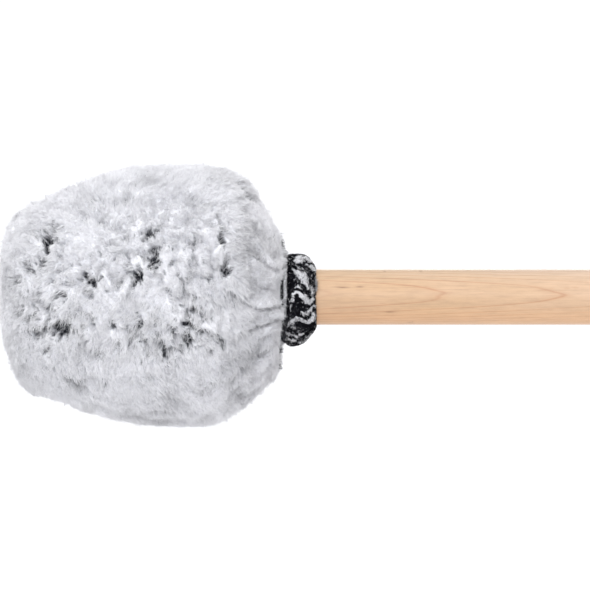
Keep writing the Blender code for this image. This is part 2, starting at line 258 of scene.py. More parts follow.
def skin_material():
    """The fleece's matted under-pile, white, with the dark knitted backing where the pile parts, and darker in its
    hollows and creases as painted shade.
    """
    made, tree, shader = new_material("fleece_underpile")
    place = node(tree, "ShaderNodeTexCoord").outputs["Object"]
    parted = node(tree, "ShaderNodeAttribute", attribute_name="parted").outputs["Fac"]
    depth = node(tree, "ShaderNodeAttribute", attribute_name="depth").outputs["Fac"]
    knots = node(tree, "ShaderNodeTexNoise", in_Scale=1500.0, in_Detail=2.0, in_Roughness=0.6)
    tree.links.new(place, knots.inputs["Vector"])
    ragged = math_node(tree, "MULTIPLY_ADD", knots.outputs["Fac"], 1.3)
    ragged.node.inputs[2].default_value = -0.65
    edge = math_node(tree, "ADD", parted, ragged)
    dark = ramp(tree, edge, [(0.30, grey(0.0)), (0.62, grey(1.0))])
    # The depth attribute is the hollow mask: the under-pile is darker in the hollows and creases, painted shade.
    pile = ramp(tree, depth, [(0.0, (0.90, 0.90, 0.918)), (0.35, (0.80, 0.802, 0.825)), (1.0, (0.40, 0.405, 0.428))])
    matted = ramp(tree, knots.outputs["Fac"], [(0.35, grey(0.88)), (0.60, grey(1.0))])
    pile = mix_colour(tree, 1.0, pile, matted, "MULTIPLY")
    backing = mix_colour(
        tree, ramp(tree, knots.outputs["Fac"], [(0.56, grey(0.0)), (0.72, grey(1.0))]), (0.014, 0.015, 0.020), (0.36, 0.365, 0.385)
    )
    tree.links.new(mix_colour(tree, dark, pile, backing), shader.inputs["Base Color"])
    shader.inputs["Roughness"].default_value = 1.0
    shader.inputs["Specular IOR Level"].default_value = 0.1
    bump = node(tree, "ShaderNodeBump", in_Strength=0.35, in_Distance=0.0006)
    tree.links.new(knots.outputs["Fac"], bump.inputs["Height"])
    tree.links.new(bump.outputs["Normal"], shader.inputs["Normal"])
    return made


SKIN = skin_material()

# ================================================================ the head's outline, from the photograph
# Outlines of the head over and under the axis: (station, radius) from the middle of the blunt front to the neck.
TOP = [(0.3, 0.0), (0.3, 9.0), (0.5, 18.0), (1.4, 26.6), (4.1, 32.9), (7.6, 38.0), (13.3, 42.4), (17.9, 45.3), (27.0, 49.8)] + [
    (station(x), height(y))
    for x, y in ((80, 182), (100, 174.5), (120, 170), (140, 167.5), (160, 165.8), (180, 164.3), (198, 164.6), (212, 167), (228, 169), (240, 174.5), (251, 184), (261, 199), (270, 216), (277, 230))
] + [(128.1, 26.0), (128.5, 22.5), (128.1, 20.0), (127.2, 18.4)]
BOTTOM = [(0.3, 0.0), (0.3, 9.0), (0.9, 18.0), (2.9, 24.8), (5.2, 32.0), (7.6, 37.6), (12.4, 42.4), (17.9, 44.6), (27.0, 48.0)] + [
    (station(x), -height(y))
    for x, y in ((80, 411.5), (100, 416.5), (120, 421), (140, 424.5), (160, 427.4), (180, 428.6), (198, 428.8), (210, 427), (222, 422.5), (235, 416), (248, 407.5), (259, 396.5), (269, 387), (277.5, 379.5))
] + [(128.1, 32.5), (128.6, 27.0), (128.6, 22.5), (128.1, 20.0), (127.2, 18.4)]
LINE = 600
top_line = catmull(TOP, LINE)
bottom_line = catmull(BOTTOM, LINE)


def bump_at(angle, centre_degrees, half_degrees):
    d = np.abs((np.degrees(angle) - centre_degrees + 180) % 360 - 180)
    return 1 - smoothstep(d, half_degrees * 0.75, half_degrees * 1.15)


def covering(angle):
    """Where white fluff lies over the cord: 1 covered, 0 cord bare."""
    c = bump_at(angle, 20, 51) + bump_at(angle, 111, 9)
    for centre_degrees, half in ((187, 9), (214, 16), (262, 11), (301, 20), (338, 16)):
        c = c + bump_at(angle, centre_degrees, half)
    return np.clip(c, 0, 1)


def outline(t, angle):
    """(station, radius) of the head's outside, and its slope, at t from 0 in front to 1 at the neck. Its rear face
    swells back over the binding cord where the fluff covers it, and stands forward of it where the cord is bare."""
    c = 0.5 + 0.5 * np.cos(angle)
    x = np.asarray(t) * (LINE - 1)
    i = np.clip(x.astype(int), 0, LINE - 2)
    f = (x - i)[..., None]
    c = c[..., None]
    a = (top_line[i] * (1 - f) + top_line[i + 1] * f) * c + (bottom_line[i] * (1 - f) + bottom_line[i + 1] * f) * (1 - c)
    swell = smoothstep(np.asarray(t), 0.86, 0.965) * (1 - smoothstep(np.asarray(t), 0.985, 1.0))
    a[..., 0] += swell * (1.25 * covering(angle) - 0.55)
    k, m = np.clip(i - 4, 0, LINE - 1), np.clip(i + 5, 0, LINE - 1)
    slope = (top_line[m] - top_line[k]) * c + (bottom_line[m] - bottom_line[k]) * (1 - c)
    return a, unit(slope)


def surface(t, angle):
    """Points of the head's smooth outside in metres, with its normals and its two tangents: towards the neck, and
    round towards a greater angle."""
    a, slope = outline(t, angle)
    radial = np.stack([np.zeros_like(angle), -np.sin(angle), np.cos(angle)], axis=-1)
    around = np.stack([np.zeros_like(angle), -np.cos(angle), -np.sin(angle)], axis=-1)
    along = np.array([1.0, 0.0, 0.0])
    point = a[..., :1] * MM * along + a[..., 1:] * MM * radial + np.array([X_FRONT, 0.0, AXIS_Z])
    normal = slope[..., :1] * radial - slope[..., 1:] * along
    meridian = slope[..., :1] * along + slope[..., 1:] * radial
    return point, normal, meridian, around


# A table for picking points evenly by area.
_t = np.linspace(0, 1, LINE)
_a, _ = outline(_t, np.full(LINE, math.pi / 2))
_step = np.linalg.norm(np.gradient(_a, axis=0), axis=1)
_area = np.cumsum(_step * np.maximum(_a[:, 1], 0.2))
AREA = float(_area[-1] * 2 * math.pi)  # square millimetres
_area = _area / _area[-1]


def scattered(count, generator):
    t = np.interp(generator.random(count), _area, _t)
    return t, generator.random(count) * 2 * math.pi


# ================================================================ partings: where the pile opens on its dark backing
# Column, row, half length and half width in pixels, tilt in degrees (0 along the row, 90 upright), how dark.
SEEN = [
    (52, 240, 9, 3.8, 80, 1.25), (56.5, 228, 6.5, 2.0, 66, 0.95), (51.5, 248, 5, 3.0, 100, 1.0), (46.5, 260, 6, 2.8, 80, 1.0), (73, 319, 5, 2.2, 60, 0.65), (57, 319.5, 4, 2.2, 120, 0.6), (50, 322.5, 4, 2.0, 30, 0.5), (35, 268, 6, 2.6, 130, 0.75),
    (94, 281, 5.5, 4.6, 70, 1.15), (96, 293, 5, 2.6, 80, 0.5), (28, 262, 4, 2.4, 60, 0.6), (17, 300, 5, 1.8, 85, 0.55), (31, 290, 4, 2.0, 100, 0.5),
    (141.5, 276, 8, 3.2, 84, 1.2), (160, 251, 7, 3.0, 78, 1.0), (157.5, 261, 5.8, 2.8, 66, 1.2), (153, 232, 6, 3.2, 60, 0.85),
    (61.5, 328, 6.0, 3.8, 32, 1.25), (68.5, 325.5, 4.8, 3.4, 118, 1.05), (65, 330, 3.6, 4.6, 20, 0.95), (72, 331, 6, 3.6, 50, 0.8), (58, 333, 5, 3.0, 30, 0.7), (42, 334, 8, 3.6, 86, 1.15), (58, 309, 6, 1.5, 178, 0.75),
    (229, 262, 5, 2.4, 80, 0.85), (230.5, 270.5, 5.0, 3.0, 40, 0.95), (233, 268, 4.0, 2.0, 140, 0.8), (226, 236, 8, 1.8, 86, 0.8), (227, 246, 5, 1.6, 86, 0.55),
    (64, 296, 5, 3.6, 30, 0.7), (19, 280, 5, 2.4, 30, 0.75), (24, 312, 5, 2.6, 80, 0.75), (86, 328, 5, 3.2, 60, 0.6), (100, 354, 5, 2.6, 60, 0.7), (58, 280, 4, 2.0, 140, 0.5),
    (190, 324, 6.5, 3.2, 160, 1.15), (203, 329, 7.5, 2.6, 155, 0.95), (191, 341.5, 6, 3.0, 155, 1.12), (222, 337, 4, 1.9, 120, 0.7), (226, 343, 4, 2.0, 120, 0.75),
    (167, 351, 7, 3.8, 125, 1.0), (161, 322, 6, 2.2, 75, 0.5), (129, 328, 5, 2.4, 150, 0.45),
    (140, 333, 8, 2.0, 55, 0.5), (100, 356, 5, 3.0, 40, 0.6), (134, 344, 7, 2.0, 60, 0.42),
    (75, 386, 11, 2.0, 155, 0.6), (136, 337, 5, 2.4, 60, 0.5), (113, 244, 6, 2.6, 70, 0.5), (94, 199, 5, 2.2, 50, 0.45),
    (127, 194, 4, 2.0, 60, 0.5), (23, 314, 6, 2.4, 75, 0.45), (150, 380, 5, 2.2, 60, 0.35), (176, 262, 5, 2.4, 60, 0.45),
    (122, 272, 4, 1.8, 60, 0.45), (94, 266, 6, 1.4, 86, 0.45), (84, 262, 5, 1.6, 125, 0.42), (39, 236, 6, 2.2, 120, 0.42),
    (131, 238, 4, 2.2, 40, 0.45), (99, 221, 4, 2.0, 120, 0.4), (88, 217, 4, 2.0, 60, 0.38), (243, 228, 4, 2.2, 160, 0.4),
    (164, 222, 5, 1.8, 10, 0.4), (205, 312, 6, 2.2, 165, 0.42), (216, 316, 5, 2.0, 160, 0.42), (178, 310, 6, 2.2, 120, 0.4),
    (168, 240, 4, 2.0, 120, 0.35), (212, 302, 5, 1.6, 60, 0.38), (82, 346, 5, 2.0, 40, 0.4), (52, 352, 6, 2.0, 150, 0.4),
    (112, 312, 5, 2.0, 30, 0.4), (84, 310, 6, 2.0, 140, 0.4), (110, 372, 5, 1.8, 60, 0.3), (183, 372, 5, 1.8, 120, 0.3),
    (198, 309, 4.5, 2.3, 150, 0.79), (211, 320, 4.9, 2.4, 158, 0.82), (188, 307, 3.8, 2.2, 40, 0.73), (188, 285, 2.6, 1.5, 70, 0.58), (200, 298, 3.4, 2.0, 130, 0.74),
    (119, 328, 4.5, 2.3, 62, 0.77), (144, 326, 5.2, 2.3, 70, 0.82), (146, 342, 4.5, 2.2, 60, 0.73), (124, 345, 4.0, 2.2, 110, 0.73), (176, 333, 4.5, 2.3, 140, 0.77),
    (181, 352, 4.0, 2.3, 60, 0.77), (205, 346, 4.5, 2.2, 150, 0.74), (213, 352, 3.8, 2.0, 120, 0.69), (160, 338, 4.0, 2.2, 80, 0.74), (150, 356, 4.5, 2.2, 70, 0.69),
    (130, 262, 3.4, 1.6, 110, 0.58), (118, 258, 3.0, 1.5, 60, 0.54), (104, 252, 3.4, 1.5, 80, 0.55), (76, 266, 3.6, 1.6, 95, 0.56), (70, 283, 3.4, 1.6, 60, 0.55),
    (110, 293, 3.2, 1.5, 50, 0.55), (122, 286, 2.8, 1.4, 100, 0.56), (150, 292, 3.4, 1.6, 70, 0.55), (168, 273, 3.2, 1.5, 100, 0.56), (172, 290, 3.2, 1.5, 60, 0.55),
    (207, 262, 3.4, 1.5, 80, 0.54), (214, 280, 3.2, 1.5, 70, 0.55), (186, 250, 3.2, 1.5, 70, 0.52), (198, 240, 3.0, 1.4, 60, 0.50), (205, 187, 1.9, 1.1, 60, 0.62),
    (30, 381, 1.7, 1.2, 10, 0.55), (108, 388, 4.0, 1.6, 60, 0.45), (237, 382, 5.0, 2.0, 150, 0.42), (50, 352, 4.5, 2.3, 50, 0.66), (36, 318, 3.8, 2.3, 80, 0.74),
    (12, 292, 3.0, 1.5, 80, 0.52), (14, 318, 3.0, 1.5, 80, 0.50), (48, 300, 3.4, 1.6, 100, 0.55), (80, 300, 3.0, 1.5, 40, 0.54), (98, 318, 3.8, 2.2, 130, 0.71),
]
# Creases where the fleece gathers towards the neck: chains of (column, row, half width) in pixels.
CREASES = [
    [(243.0, 184.0, 0.2), (246.0, 191.5, 1.3), (253.5, 196.6, 1.5), (262.0, 200.5, 0.5)],
    [(245.0, 206.0, -0.6), (250.0, 213.0, 0.0), (256.0, 223.0, 0.5), (262.5, 237.5, 0.9), (270.0, 249.6, 0.9), (279.5, 262.0, 0.3)],
    [(258.0, 246.0, -0.3), (262.5, 258.5, 0.6), (270.5, 266.5, 0.6), (280.0, 271.5, 0.1)],
    [(236.0, 293.0, -0.6), (247.0, 304.0, 0.0), (255.0, 308.0, 0.3), (263.0, 311.0, 0.6), (273.0, 309.4, 0.4), (283.0, 307.5, 0.0)],
    [(230.0, 345.0, -0.5), (242.0, 336.0, 0.1), (250.0, 332.0, 0.4), (259.0, 329.6, 0.5), (271.0, 325.4, 0.3), (281.5, 320.4, 0.0)],
    [(232.0, 385.0, 0.0), (244.5, 373.0, 0.5), (258.0, 363.5, 0.3), (271.0, 352.0, 0.2), (279.0, 341.0, 0.2)],
    [(224.0, 415.5, 0.4), (238.0, 403.0, 1.0), (250.0, 396.5, 0.8), (262.0, 387.5, 0.3)],
    [(236.0, 216.0, -0.5), (243.0, 234.0, 0.0), (252.0, 247.0, 0.2), (260.0, 256.0, 0.0)],
    [(258.0, 282.0, -1.0), (266.0, 288.5, -0.7), (276.0, 291.0, -0.9)],
    [(62.0, 377.0, 0.2), (72.0, 384.0, 1.0), (84.0, 388.5, 0.6), (90.0, 395.0, 0.2)],
    [(200.0, 398.0, -0.3), (212.0, 391.0, 0.3), (222.0, 381.0, 0.2), (229.0, 370.0, -0.2)],
    [(252.0, 350.0, -0.3), (262.0, 343.5, 0.2), (274.0, 334.0, 0.1)],
    [(172.0, 201.5, -0.9), (191.5, 200.0, -0.3), (209.0, 204.0, 0.0), (219.5, 213.0, 0.1), (224.5, 226.0, 0.4), (225.5, 240.0, 0.8)],
    [(176.0, 187.0, -0.8), (193.0, 191.5, -0.1), (206.0, 199.0, -0.6)],
    [(187.0, 322.0, 0.0), (200.0, 328.0, 0.5), (213.0, 334.0, 0.4), (224.0, 341.5, 0.5), (228.0, 347.0, 0.0)],
    [(176.0, 340.0, -0.4), (184.0, 335.5, -0.1), (197.0, 337.0, -0.1), (208.0, 341.5, -0.5)],
    [(100.0, 222.0, -0.8), (112.0, 214.0, -0.4), (126.0, 213.0, -0.8)],
    [(128.0, 252.0, -0.5), (134.0, 258.0, -0.1), (141.0, 254.0, -0.6)],
    [(150.0, 394.0, -0.8), (166.0, 398.0, -0.4), (182.0, 396.0, -0.8)],
    [(18.0, 352.0, -0.6), (26.0, 365.0, -0.2), (37.0, 373.0, -0.6)],
]


def chain_field(column, row, chains):
    """How far inside the chains each place is, in pixels: positive inside them."""
    best = np.full(np.shape(column), -9.0)
    for chain in chains:
        for (x0, y0, w0), (x1, y1, w1) in zip(chain[:-1], chain[1:]):
            dx, dy = x1 - x0, y1 - y0
            k = np.clip(((column - x0) * dx + (row - y0) * dy) / (dx * dx + dy * dy), 0, 1)
            d = np.hypot(column - x0 - k * dx, row - y0 - k * dy)
            best = np.maximum(best, w0 + (w1 - w0) * k - d)
    return best


def crease_field(points, angle):
    """0 to 1 in the creases: the photograph's on the camera's side, and turned over for the far side."""
    bend = 0.0011 * noise_vector(points, 0.006, 36)
    column = (points[:, 0] - X_FRONT + bend[:, 0]) / MM / PIXEL + 1.0
    row = MID_ROW - (points[:, 2] - AXIS_Z + bend[:, 2]) / MM / PIXEL
    front = points[:, 1] < 0
    row = np.where(front, row, 2 * MID_ROW + 9.0 - row)
    column = np.where(front, column, column + 3.0)
    broken = 0.72 * smoothstep(noise3(points, 0.008, 181) + 0.4 * noise3(points, 0.0035, 182), -0.35, 0.5)
    fade = np.where(front, 1.0, broken * smoothstep(points[:, 1], 0.0, 0.006))
    inside = chain_field(column, row, CREASES)
    return np.where(front, smoothstep(inside, -2.5, 0.9), smoothstep(inside, -4.6, 1.6)) * fade


# Bulges beside the creases: chains of (column, row) and which side is higher, 1 to the right of the way along it.
BULGES = [
    ([(241.0, 183.0), (246.0, 191.5), (253.5, 196.6), (262.0, 200.5)], -1, 1.3),
    ([(248.0, 209.0), (256.0, 223.0), (262.5, 237.5), (270.0, 249.6), (279.5, 262.0)], 1, 1.5),
    ([(258.0, 246.0), (262.5, 258.5), (270.5, 266.5), (280.0, 271.5)], 1, 1.0),
    ([(222.0, 214.0), (225.0, 226.0), (226.0, 246.0), (230.0, 262.0)], 1, 1.1),
    ([(236.0, 293.0), (247.0, 304.0), (263.0, 311.0), (283.0, 307.5)], -1, 1.0),
    ([(230.0, 345.0), (242.0, 336.0), (259.0, 329.6), (281.5, 320.4)], -1, 1.2),
    ([(187.0, 322.0), (200.0, 328.0), (213.0, 334.0), (228.0, 347.0)], -1, 1.1),
    ([(224.0, 415.5), (238.0, 403.0), (250.0, 396.5), (262.0, 387.5)], -1, 1.2),
    ([(62.0, 377.0), (72.0, 384.0), (84.0, 388.5), (90.0, 395.0)], -1, 1.0),
]


def bulge_field(points):
    """Millimetres that the pile stands higher beside the creases."""
    column = (points[:, 0] - X_FRONT) / MM / PIXEL + 1.0
    row = MID_ROW - (points[:, 2] - AXIS_Z) / MM / PIXEL
    front = points[:, 1] < 0
    row = np.where(front, row, 2 * MID_ROW + 9.0 - row)
    column = np.where(front, column, column + 3.0)
    fade = np.where(front, 1.0, smoothstep(points[:, 1], 0.0, 0.006))
    out = np.zeros(len(points))
    for chain, side, tall in BULGES:
        near = np.full(len(points), 99.0)
        for (x0, y0), (x1, y1) in zip(chain[:-1], chain[1:]):
            dx, dy = x1 - x0, y1 - y0
            along = ((column - x0) * dx + (row - y0) * dy) / (dx * dx + dy * dy)
            k = np.clip(along, 0, 1)
            d = np.hypot(column - x0 - k * dx, row - y0 - k * dy)
            sign = np.sign(dx * (row - y0) - dy * (column - x0)) * side
            near = np.where(d < np.abs(near), d * sign, near)
        out = np.maximum(out, tall * np.exp(-(((near - 4.2) / 3.6) ** 2)))
    return out * fade


# Wider zones where the pile is thin and greyer. Column, row, half length, half width, tilt, how grey.
ZONES = [
    (56, 250, 16, 9, 75, 0.55), (40, 268, 14, 9, 100, 0.55), (66, 328, 20, 11, 20, 0.85), (43, 332, 10, 7, 80, 0.5), (95, 282, 12, 9, 70, 0.55),
    (148, 262, 17, 9, 50, 0.7), (158, 240, 16, 9, 75, 0.65), (196, 326, 20, 8, 160, 0.75), (168, 350, 14, 9, 130, 0.6), (190, 342, 10, 7, 150, 0.5),
    (150, 318, 20, 12, 30, 0.5), (130, 334, 14, 8, 60, 0.45), (208, 300, 16, 10, 70, 0.4), (228, 262, 14, 9, 80, 0.6), (224, 342, 10, 8, 120, 0.6),
    (110, 245, 14, 9, 70, 0.4), (85, 305, 16, 9, 140, 0.4), (24, 300, 18, 8, 88, 0.4), (112, 358, 18, 8, 30, 0.35), (75, 384, 16, 6, 155, 0.45),
    (236, 300, 16, 7, 100, 0.35), (180, 290, 14, 9, 50, 0.3), (92, 205, 10, 8, 50, 0.3), (130, 200, 10, 8, 60, 0.3), (212, 232, 12, 8, 70, 0.35),
    (240, 365, 14, 8, 40, 0.4), (150, 378, 12, 7, 60, 0.3), (200, 378, 12, 7, 120, 0.25), (256, 250, 18, 7, 110, 0.45), (262, 320, 12, 7, 160, 0.4),
]


def marks_from_photo(marks):
    """Each mark as its centre on the camera's side of the head, its two tangent axes, sizes in metres and weight."""
    out = []
    for px, py, half, width, tilt, weight in marks:
        s, z = station(px), height(py)
        line = outline(np.linspace(0, 1, 400), np.full(400, math.pi / 2))[0]
        r = np.interp(s, line[40:, 0], line[40:, 1]) if s < 126 else 30.0
        r = max(r, abs(z) + 1.0)
        centre = np.array([X_FRONT + s * MM, -math.sqrt(max(r * r - z * z, 4.0)) * MM, AXIS_Z + z * MM])
        tilt = math.radians(tilt)
        axis = np.array([math.cos(tilt), 0.0, math.sin(tilt)])
        cross = np.array([-math.sin(tilt), 0.0, math.cos(tilt)])
        out.append((centre, axis, cross, half * PIXEL * MM, width * PIXEL * MM, 0.87 * weight, True))
    return out


def marks_elsewhere(count, generator, weights):
    """Marks of the same kinds on the sides that the photograph doesn't show."""
    out = []
    while len(out) < count:
        t, angle = scattered(1, generator)
        point, normal, meridian, around = surface(t, angle)
        seen = math.sin(angle[0]) > 0.25 and point[0, 0] < X_FRONT + 0.127
        if seen or t[0] > 0.86:
            continue
        turn = generator.uniform(0, math.pi)
        axis = math.cos(turn) * meridian[0] + math.sin(turn) * around[0]
        out.append(
            (
                point[0],
                axis,
                np.cross(normal[0], axis),
                generator.uniform(4, 9) * PIXEL * MM,
                generator.uniform(1.8, 4.4) * PIXEL * MM,
                float(generator.choice(weights)) * generator.uniform(0.85, 1.1),
                False,
            )
        )
    return out


def with_specks(marks, generator):
    """Each opening as a ragged core with strokes across it, and small ones scattered round it."""
    out = []
    for centre, axis, cross, half, width, weight, seen in marks:
        if weight < 0.5:
            out.append((centre, axis, cross, half, width, weight, seen))
        else:
            out.append((centre, axis, cross, 0.82 * half, 0.74 * width, weight, seen))
            for _ in range(int(4 + 3.5 * weight)):
                u, w = generator.normal(size=2) * np.array([0.62 * half, 0.85 * width])
                turn = generator.normal() * 0.75
                along = math.cos(turn) * axis + math.sin(turn) * cross
                over = math.cos(turn) * cross - math.sin(turn) * axis
                long, thin = half * generator.uniform(0.50, 1.00), width * generator.uniform(0.24, 0.50) + 0.0001
                out.append((centre + u * axis + w * cross, along, over, long, thin, weight * generator.uniform(0.70, 1.1), seen))
        for _ in range(int(1 + 4.0 * weight)):
            u, w = generator.normal(size=2) * np.array([1.1 * half, 1.7 * width + 0.0006])
            size = generator.uniform(0.7, 1.5) * PIXEL * MM
            tall = size * generator.uniform(1.0, 2.0)
            out.append((centre + u * axis + w * cross, axis, cross, tall, size, weight * generator.uniform(0.35, 0.80), seen))
    return out


mark_rng = np.random.default_rng(5)
PARTINGS = marks_from_photo(SEEN) + marks_elsewhere(85, mark_rng, [0.4, 0.42, 0.5, 0.5, 0.7, 0.75, 0.95])
PARTINGS = with_specks(PARTINGS, mark_rng)
THIN = marks_from_photo(ZONES)
for centre, axis, cross, half, width, weight, seen in marks_elsewhere(46, mark_rng, [0.3, 0.4, 0.5, 0.6, 0.8]):
    THIN.append((centre, axis, cross, 2.1 * half, 2.4 * width + 0.0015, weight, seen))


def busy_field(points):
    """0 to 1: the pile is more open and mottled round the middle of each side than above and below."""
    column = (points[:, 0] - X_FRONT) / MM / PIXEL + 1.0
    row = MID_ROW - (points[:, 2] - AXIS_Z) / MM / PIXEL
    row = row + 1000.0 * 9.0 * MM * noise3(points, 0.021, 99)
    across = np.exp(-((np.abs(row - 286.0) / 78.0) ** 3.2))
    return across * smoothstep(column, 4.0, 34.0) * (1 - smoothstep(column, 212.0, 256.0))


def still_field(points):
    """0 to 1: where the pile lies smooth and combed, above and below the busy middle of each side."""
    return 1 - np.clip(1.3 * busy_field(points), 0, 1)


def streak_field(points):
    """About -1 to 1, in long soft strips that run towards the neck: the comb of the smooth pile."""
    bent = (points + 0.0032 * noise_vector(points, 0.013, 151)) * np.array([0.38, 1.0, 1.0])
    return 0.7 * noise3(bent, 0.0030, 153) + 0.6 * noise3(bent, 0.0068, 154)


def painted_form_shade(points):
    """Painted shade: how much greyer the pile is made where the head's form turns from the light, towards the neck and
    a little at the blunt front.
    """
    column = (points[:, 0] - X_FRONT) / MM / PIXEL + 1.0
    row = MID_ROW - (points[:, 2] - AXIS_Z) / MM / PIXEL
    above = smoothstep(MID_ROW - row, 35.0, 85.0)
    below = smoothstep(row - MID_ROW, 30.0, 75.0)
    return 0.074 * smoothstep(column, 200.0, 250.0) * (1 - 0.98 * above - 0.60 * below) + 0.064 * (1 - smoothstep(column, 12.0, 62.0))


TONE_AT = ((0.0, 0.03, 0.55, 0.93, 0.995, 1.0), (0.0, 0.22, 0.5, 0.75, 0.9, 1.0))


def tone_of(brightness):
    """The place on the fibres' tone ramp that gives that share of the full brightness."""
    return np.interp(brightness, *TONE_AT)


def mark_field(points, marks):
    """The marks' strength at points, and the way away from them along the surface."""
    points = points + 0.0008 * noise_vector(points, 0.0042, 30) + 0.0009 * noise_vector(points, 0.0017, 33)
    strength = np.zeros(len(points))
    away = np.zeros((len(points), 3))
    pepper = smoothstep(noise3(points, 0.0021, 35) + 0.5 * noise3(points, 0.0009, 39), -0.55, 0.65)
    ragged = np.exp(1.0 * noise3(points, 0.0015, 41) + 0.45 * noise3(points, 0.0036, 42))
    order = np.argsort(points[:, 0])
    ordered = points[order, 0]
    for centre, axis, cross, half, width, weight, seen in marks:
        far = 3.6 * max(half, width)
        near = order[np.searchsorted(ordered, centre[0] - far) : np.searchsorted(ordered, centre[0] + far)]
        near = near[np.abs(points[near, 2] - centre[2]) < far]
        if seen:  # placed by the photograph's plane, on the camera's side only
            near = near[points[near, 1] < 0.004]
        else:
            near = near[np.abs(points[near, 1] - centre[1]) < far]
        if not len(near):
            continue
        d = points[near] - centre
        u, w = d @ axis, d @ cross
        e = (u / half) ** 2 + (w / width) ** 2
        if not seen:
            out = d - u[:, None] * axis - w[:, None] * cross
            e = e + (out**2).sum(1) / 0.008**2
        e = e * ragged[near]
        g = weight * np.maximum(np.exp(-1.0 * e), 0.62 * np.exp(-0.42 * e) * pepper[near])
        strength[near] = np.maximum(strength[near], g)
        far = weight * np.exp(-0.30 * e)
        away[near] += far[:, None] * (u[:, None] / half * axis * 0.35 + w[:, None] / width * cross)
    return strength, away


# ================================================================ tufts
TUFTS = 1500
sample_t, sample_angle = scattered(24000, np.random.default_rng(11))
sample_points, *_ = surface(sample_t, sample_angle)
centres = sample_points[:TUFTS].copy()


def nearest(points, tree, count=1):
    index = np.empty(len(points), np.int64)
    distance = np.empty(len(points))
    for i, p in enumerate(points.tolist()):
        _, k, d = tree.find(p)
        index[i], distance[i] = k, d
    return index, distance


def tree_of(points):
    tree = KDTree(len(points))
    for i, p in enumerate(points.tolist()):
        tree.insert(p, i)
    tree.balance()
    return tree


for _ in range(2):  # even them out a little, but keep them irregular
    owner, _d = nearest(sample_points, tree_of(centres))
    total = np.stack([np.bincount(owner, sample_points[:, k], TUFTS) for k in range(3)], axis=1)
    number = np.maximum(np.bincount(owner, minlength=TUFTS), 1)
    centres = 0.35 * centres + 0.65 * total / number[:, None]


def param_of(points):
    """t and angle of points near the head's surface."""
    d = points - np.array([X_FRONT, 0.0, AXIS_Z])
    angle = np.arctan2(-d[:, 1], d[:, 2]) % (2 * math.pi)
    s, r = d[:, 0] / MM, np.hypot(d[:, 1], d[:, 2]) / MM
    # The nearest point of the outline at that angle, among coarse candidates.
    grid_t = np.linspace(0, 1, 160)
    best = np.empty(len(points))
    for lo in range(0, len(points), 4000):
        sl = slice(lo, lo + 4000)
        a, _ = outline(np.tile(grid_t, (len(s[sl]), 1)), np.repeat(angle[sl][:, None], 160, axis=1))
        e = (a[..., 0] - s[sl][:, None]) ** 2 + (a[..., 1] - r[sl][:, None]) ** 2
        best[sl] = grid_t[e.argmin(1)]
    return best, angle


# Several tufts stand together in each larger clump. Clumps are longer up and down, as the pile hangs.
CLUMPS = 620
HANG = np.array([1.0, 1.0, 0.54])
clump_centres = sample_points[-CLUMPS:].copy()
for _ in range(2):
    owner, _d = nearest(sample_points * HANG, tree_of(clump_centres * HANG))
    total = np.stack([np.bincount(owner, sample_points[:, k], CLUMPS) for k in range(3)], axis=1)
    number = np.maximum(np.bincount(owner, minlength=CLUMPS), 1)
    clump_centres = 0.4 * clump_centres + 0.6 * total / number[:, None]
clump_tree = tree_of(clump_centres * HANG)
clump_tall = np.random.default_rng(27).uniform(-0.5, 0.5, CLUMPS)

tuft_t, tuft_angle = param_of(centres)
centres, tuft_normal, tuft_meridian, tuft_around = surface(tuft_t, tuft_angle)
tuft_tree = tree_of(centres)

tuft_parted, tuft_away = mark_field(centres, PARTINGS)
down = np.array([0.0, 0.0, -1.0]) - tuft_normal * (-tuft_normal[:, 2:])
drift = noise_vector(centres, 0.022, 3)
drift -= tuft_normal * (drift * tuft_normal).sum(1, keepdims=True)
own = np.random.default_rng(17).normal(size=(TUFTS, 3))
own -= tuft_normal * (own * tuft_normal).sum(1, keepdims=True)
neck_zone = smoothstep(tuft_t, 0.76, 0.90)[:, None]
tuft_clump, _d = nearest(centres * HANG, clump_tree)
outwards = (centres - clump_centres[tuft_clump]) / 0.0052
outwards -= tuft_normal * (outwards * tuft_normal).sum(1, keepdims=True)
tuft_still = still_field(centres)[:, None]
tuft_lean = 0.45 * drift + (0.38 - 0.24 * tuft_still) * own + 0.50 * down + (0.32 - 0.20 * tuft_still) * outwards
tuft_lean = tuft_lean + 0.60 * tuft_still * tuft_meridian
hang = (1 - tuft_still) * smoothstep(AXIS_Z + 0.008 - centres[:, 2], -0.012, 0.012)[:, None]
tuft_lean = tuft_lean * (1 - 0.35 * hang) + 0.45 * hang * down
tuft_lean = tuft_lean * (1 - neck_zone) + neck_zone * (-1.1 * tuft_meridian + 0.25 * own)
tuft_lean += 0.12 * tuft_away
size = np.linalg.norm(tuft_lean, axis=1, keepdims=True)
tuft_lean *= np.minimum(1.0, 1.25 / np.maximum(size, 1e-6))
tuft_tall = np.random.default_rng(23).uniform(0.75, 1.2, TUFTS)
tuft_tone = np.random.default_rng(29).uniform(0.0, 1.0, TUFTS)

# Each tuft is made of several locks, whose fibres run together into a tip.
LOCKS = 7600
lock_rng = np.random.default_rng(37)
lock_t, lock_angle = scattered(LOCKS, lock_rng)
lock_point, lock_normal, lock_meridian, lock_around = surface(lock_t, lock_angle)
lock_tuft, _d = nearest(lock_point + 0.0012 * noise_vector(lock_point, 0.004, 61), tuft_tree)
lock_still = still_field(lock_point)[:, None]
lock_lean = tuft_lean[lock_tuft] + (0.38 - 0.10 * lock_still) * noise_vector(lock_point, 0.006, 70)
lock_lean += (0.32 - 0.20 * lock_still) * lock_rng.normal(size=(LOCKS, 3))
lock_lean -= lock_normal * (lock_lean * lock_normal).sum(1, keepdims=True)
lock_tall = lock_rng.uniform(0.72, 1.22, LOCKS)
lock_tone = lock_rng.uniform(0.0, 1.0, LOCKS)
lock_tree = tree_of(lock_point)

# ================================================================ the matted under-pile, as one closed skin
COLUMNS = 400
ROWS = 226
PILE = 2.7  # millimetres from the matted under-pile to the tips


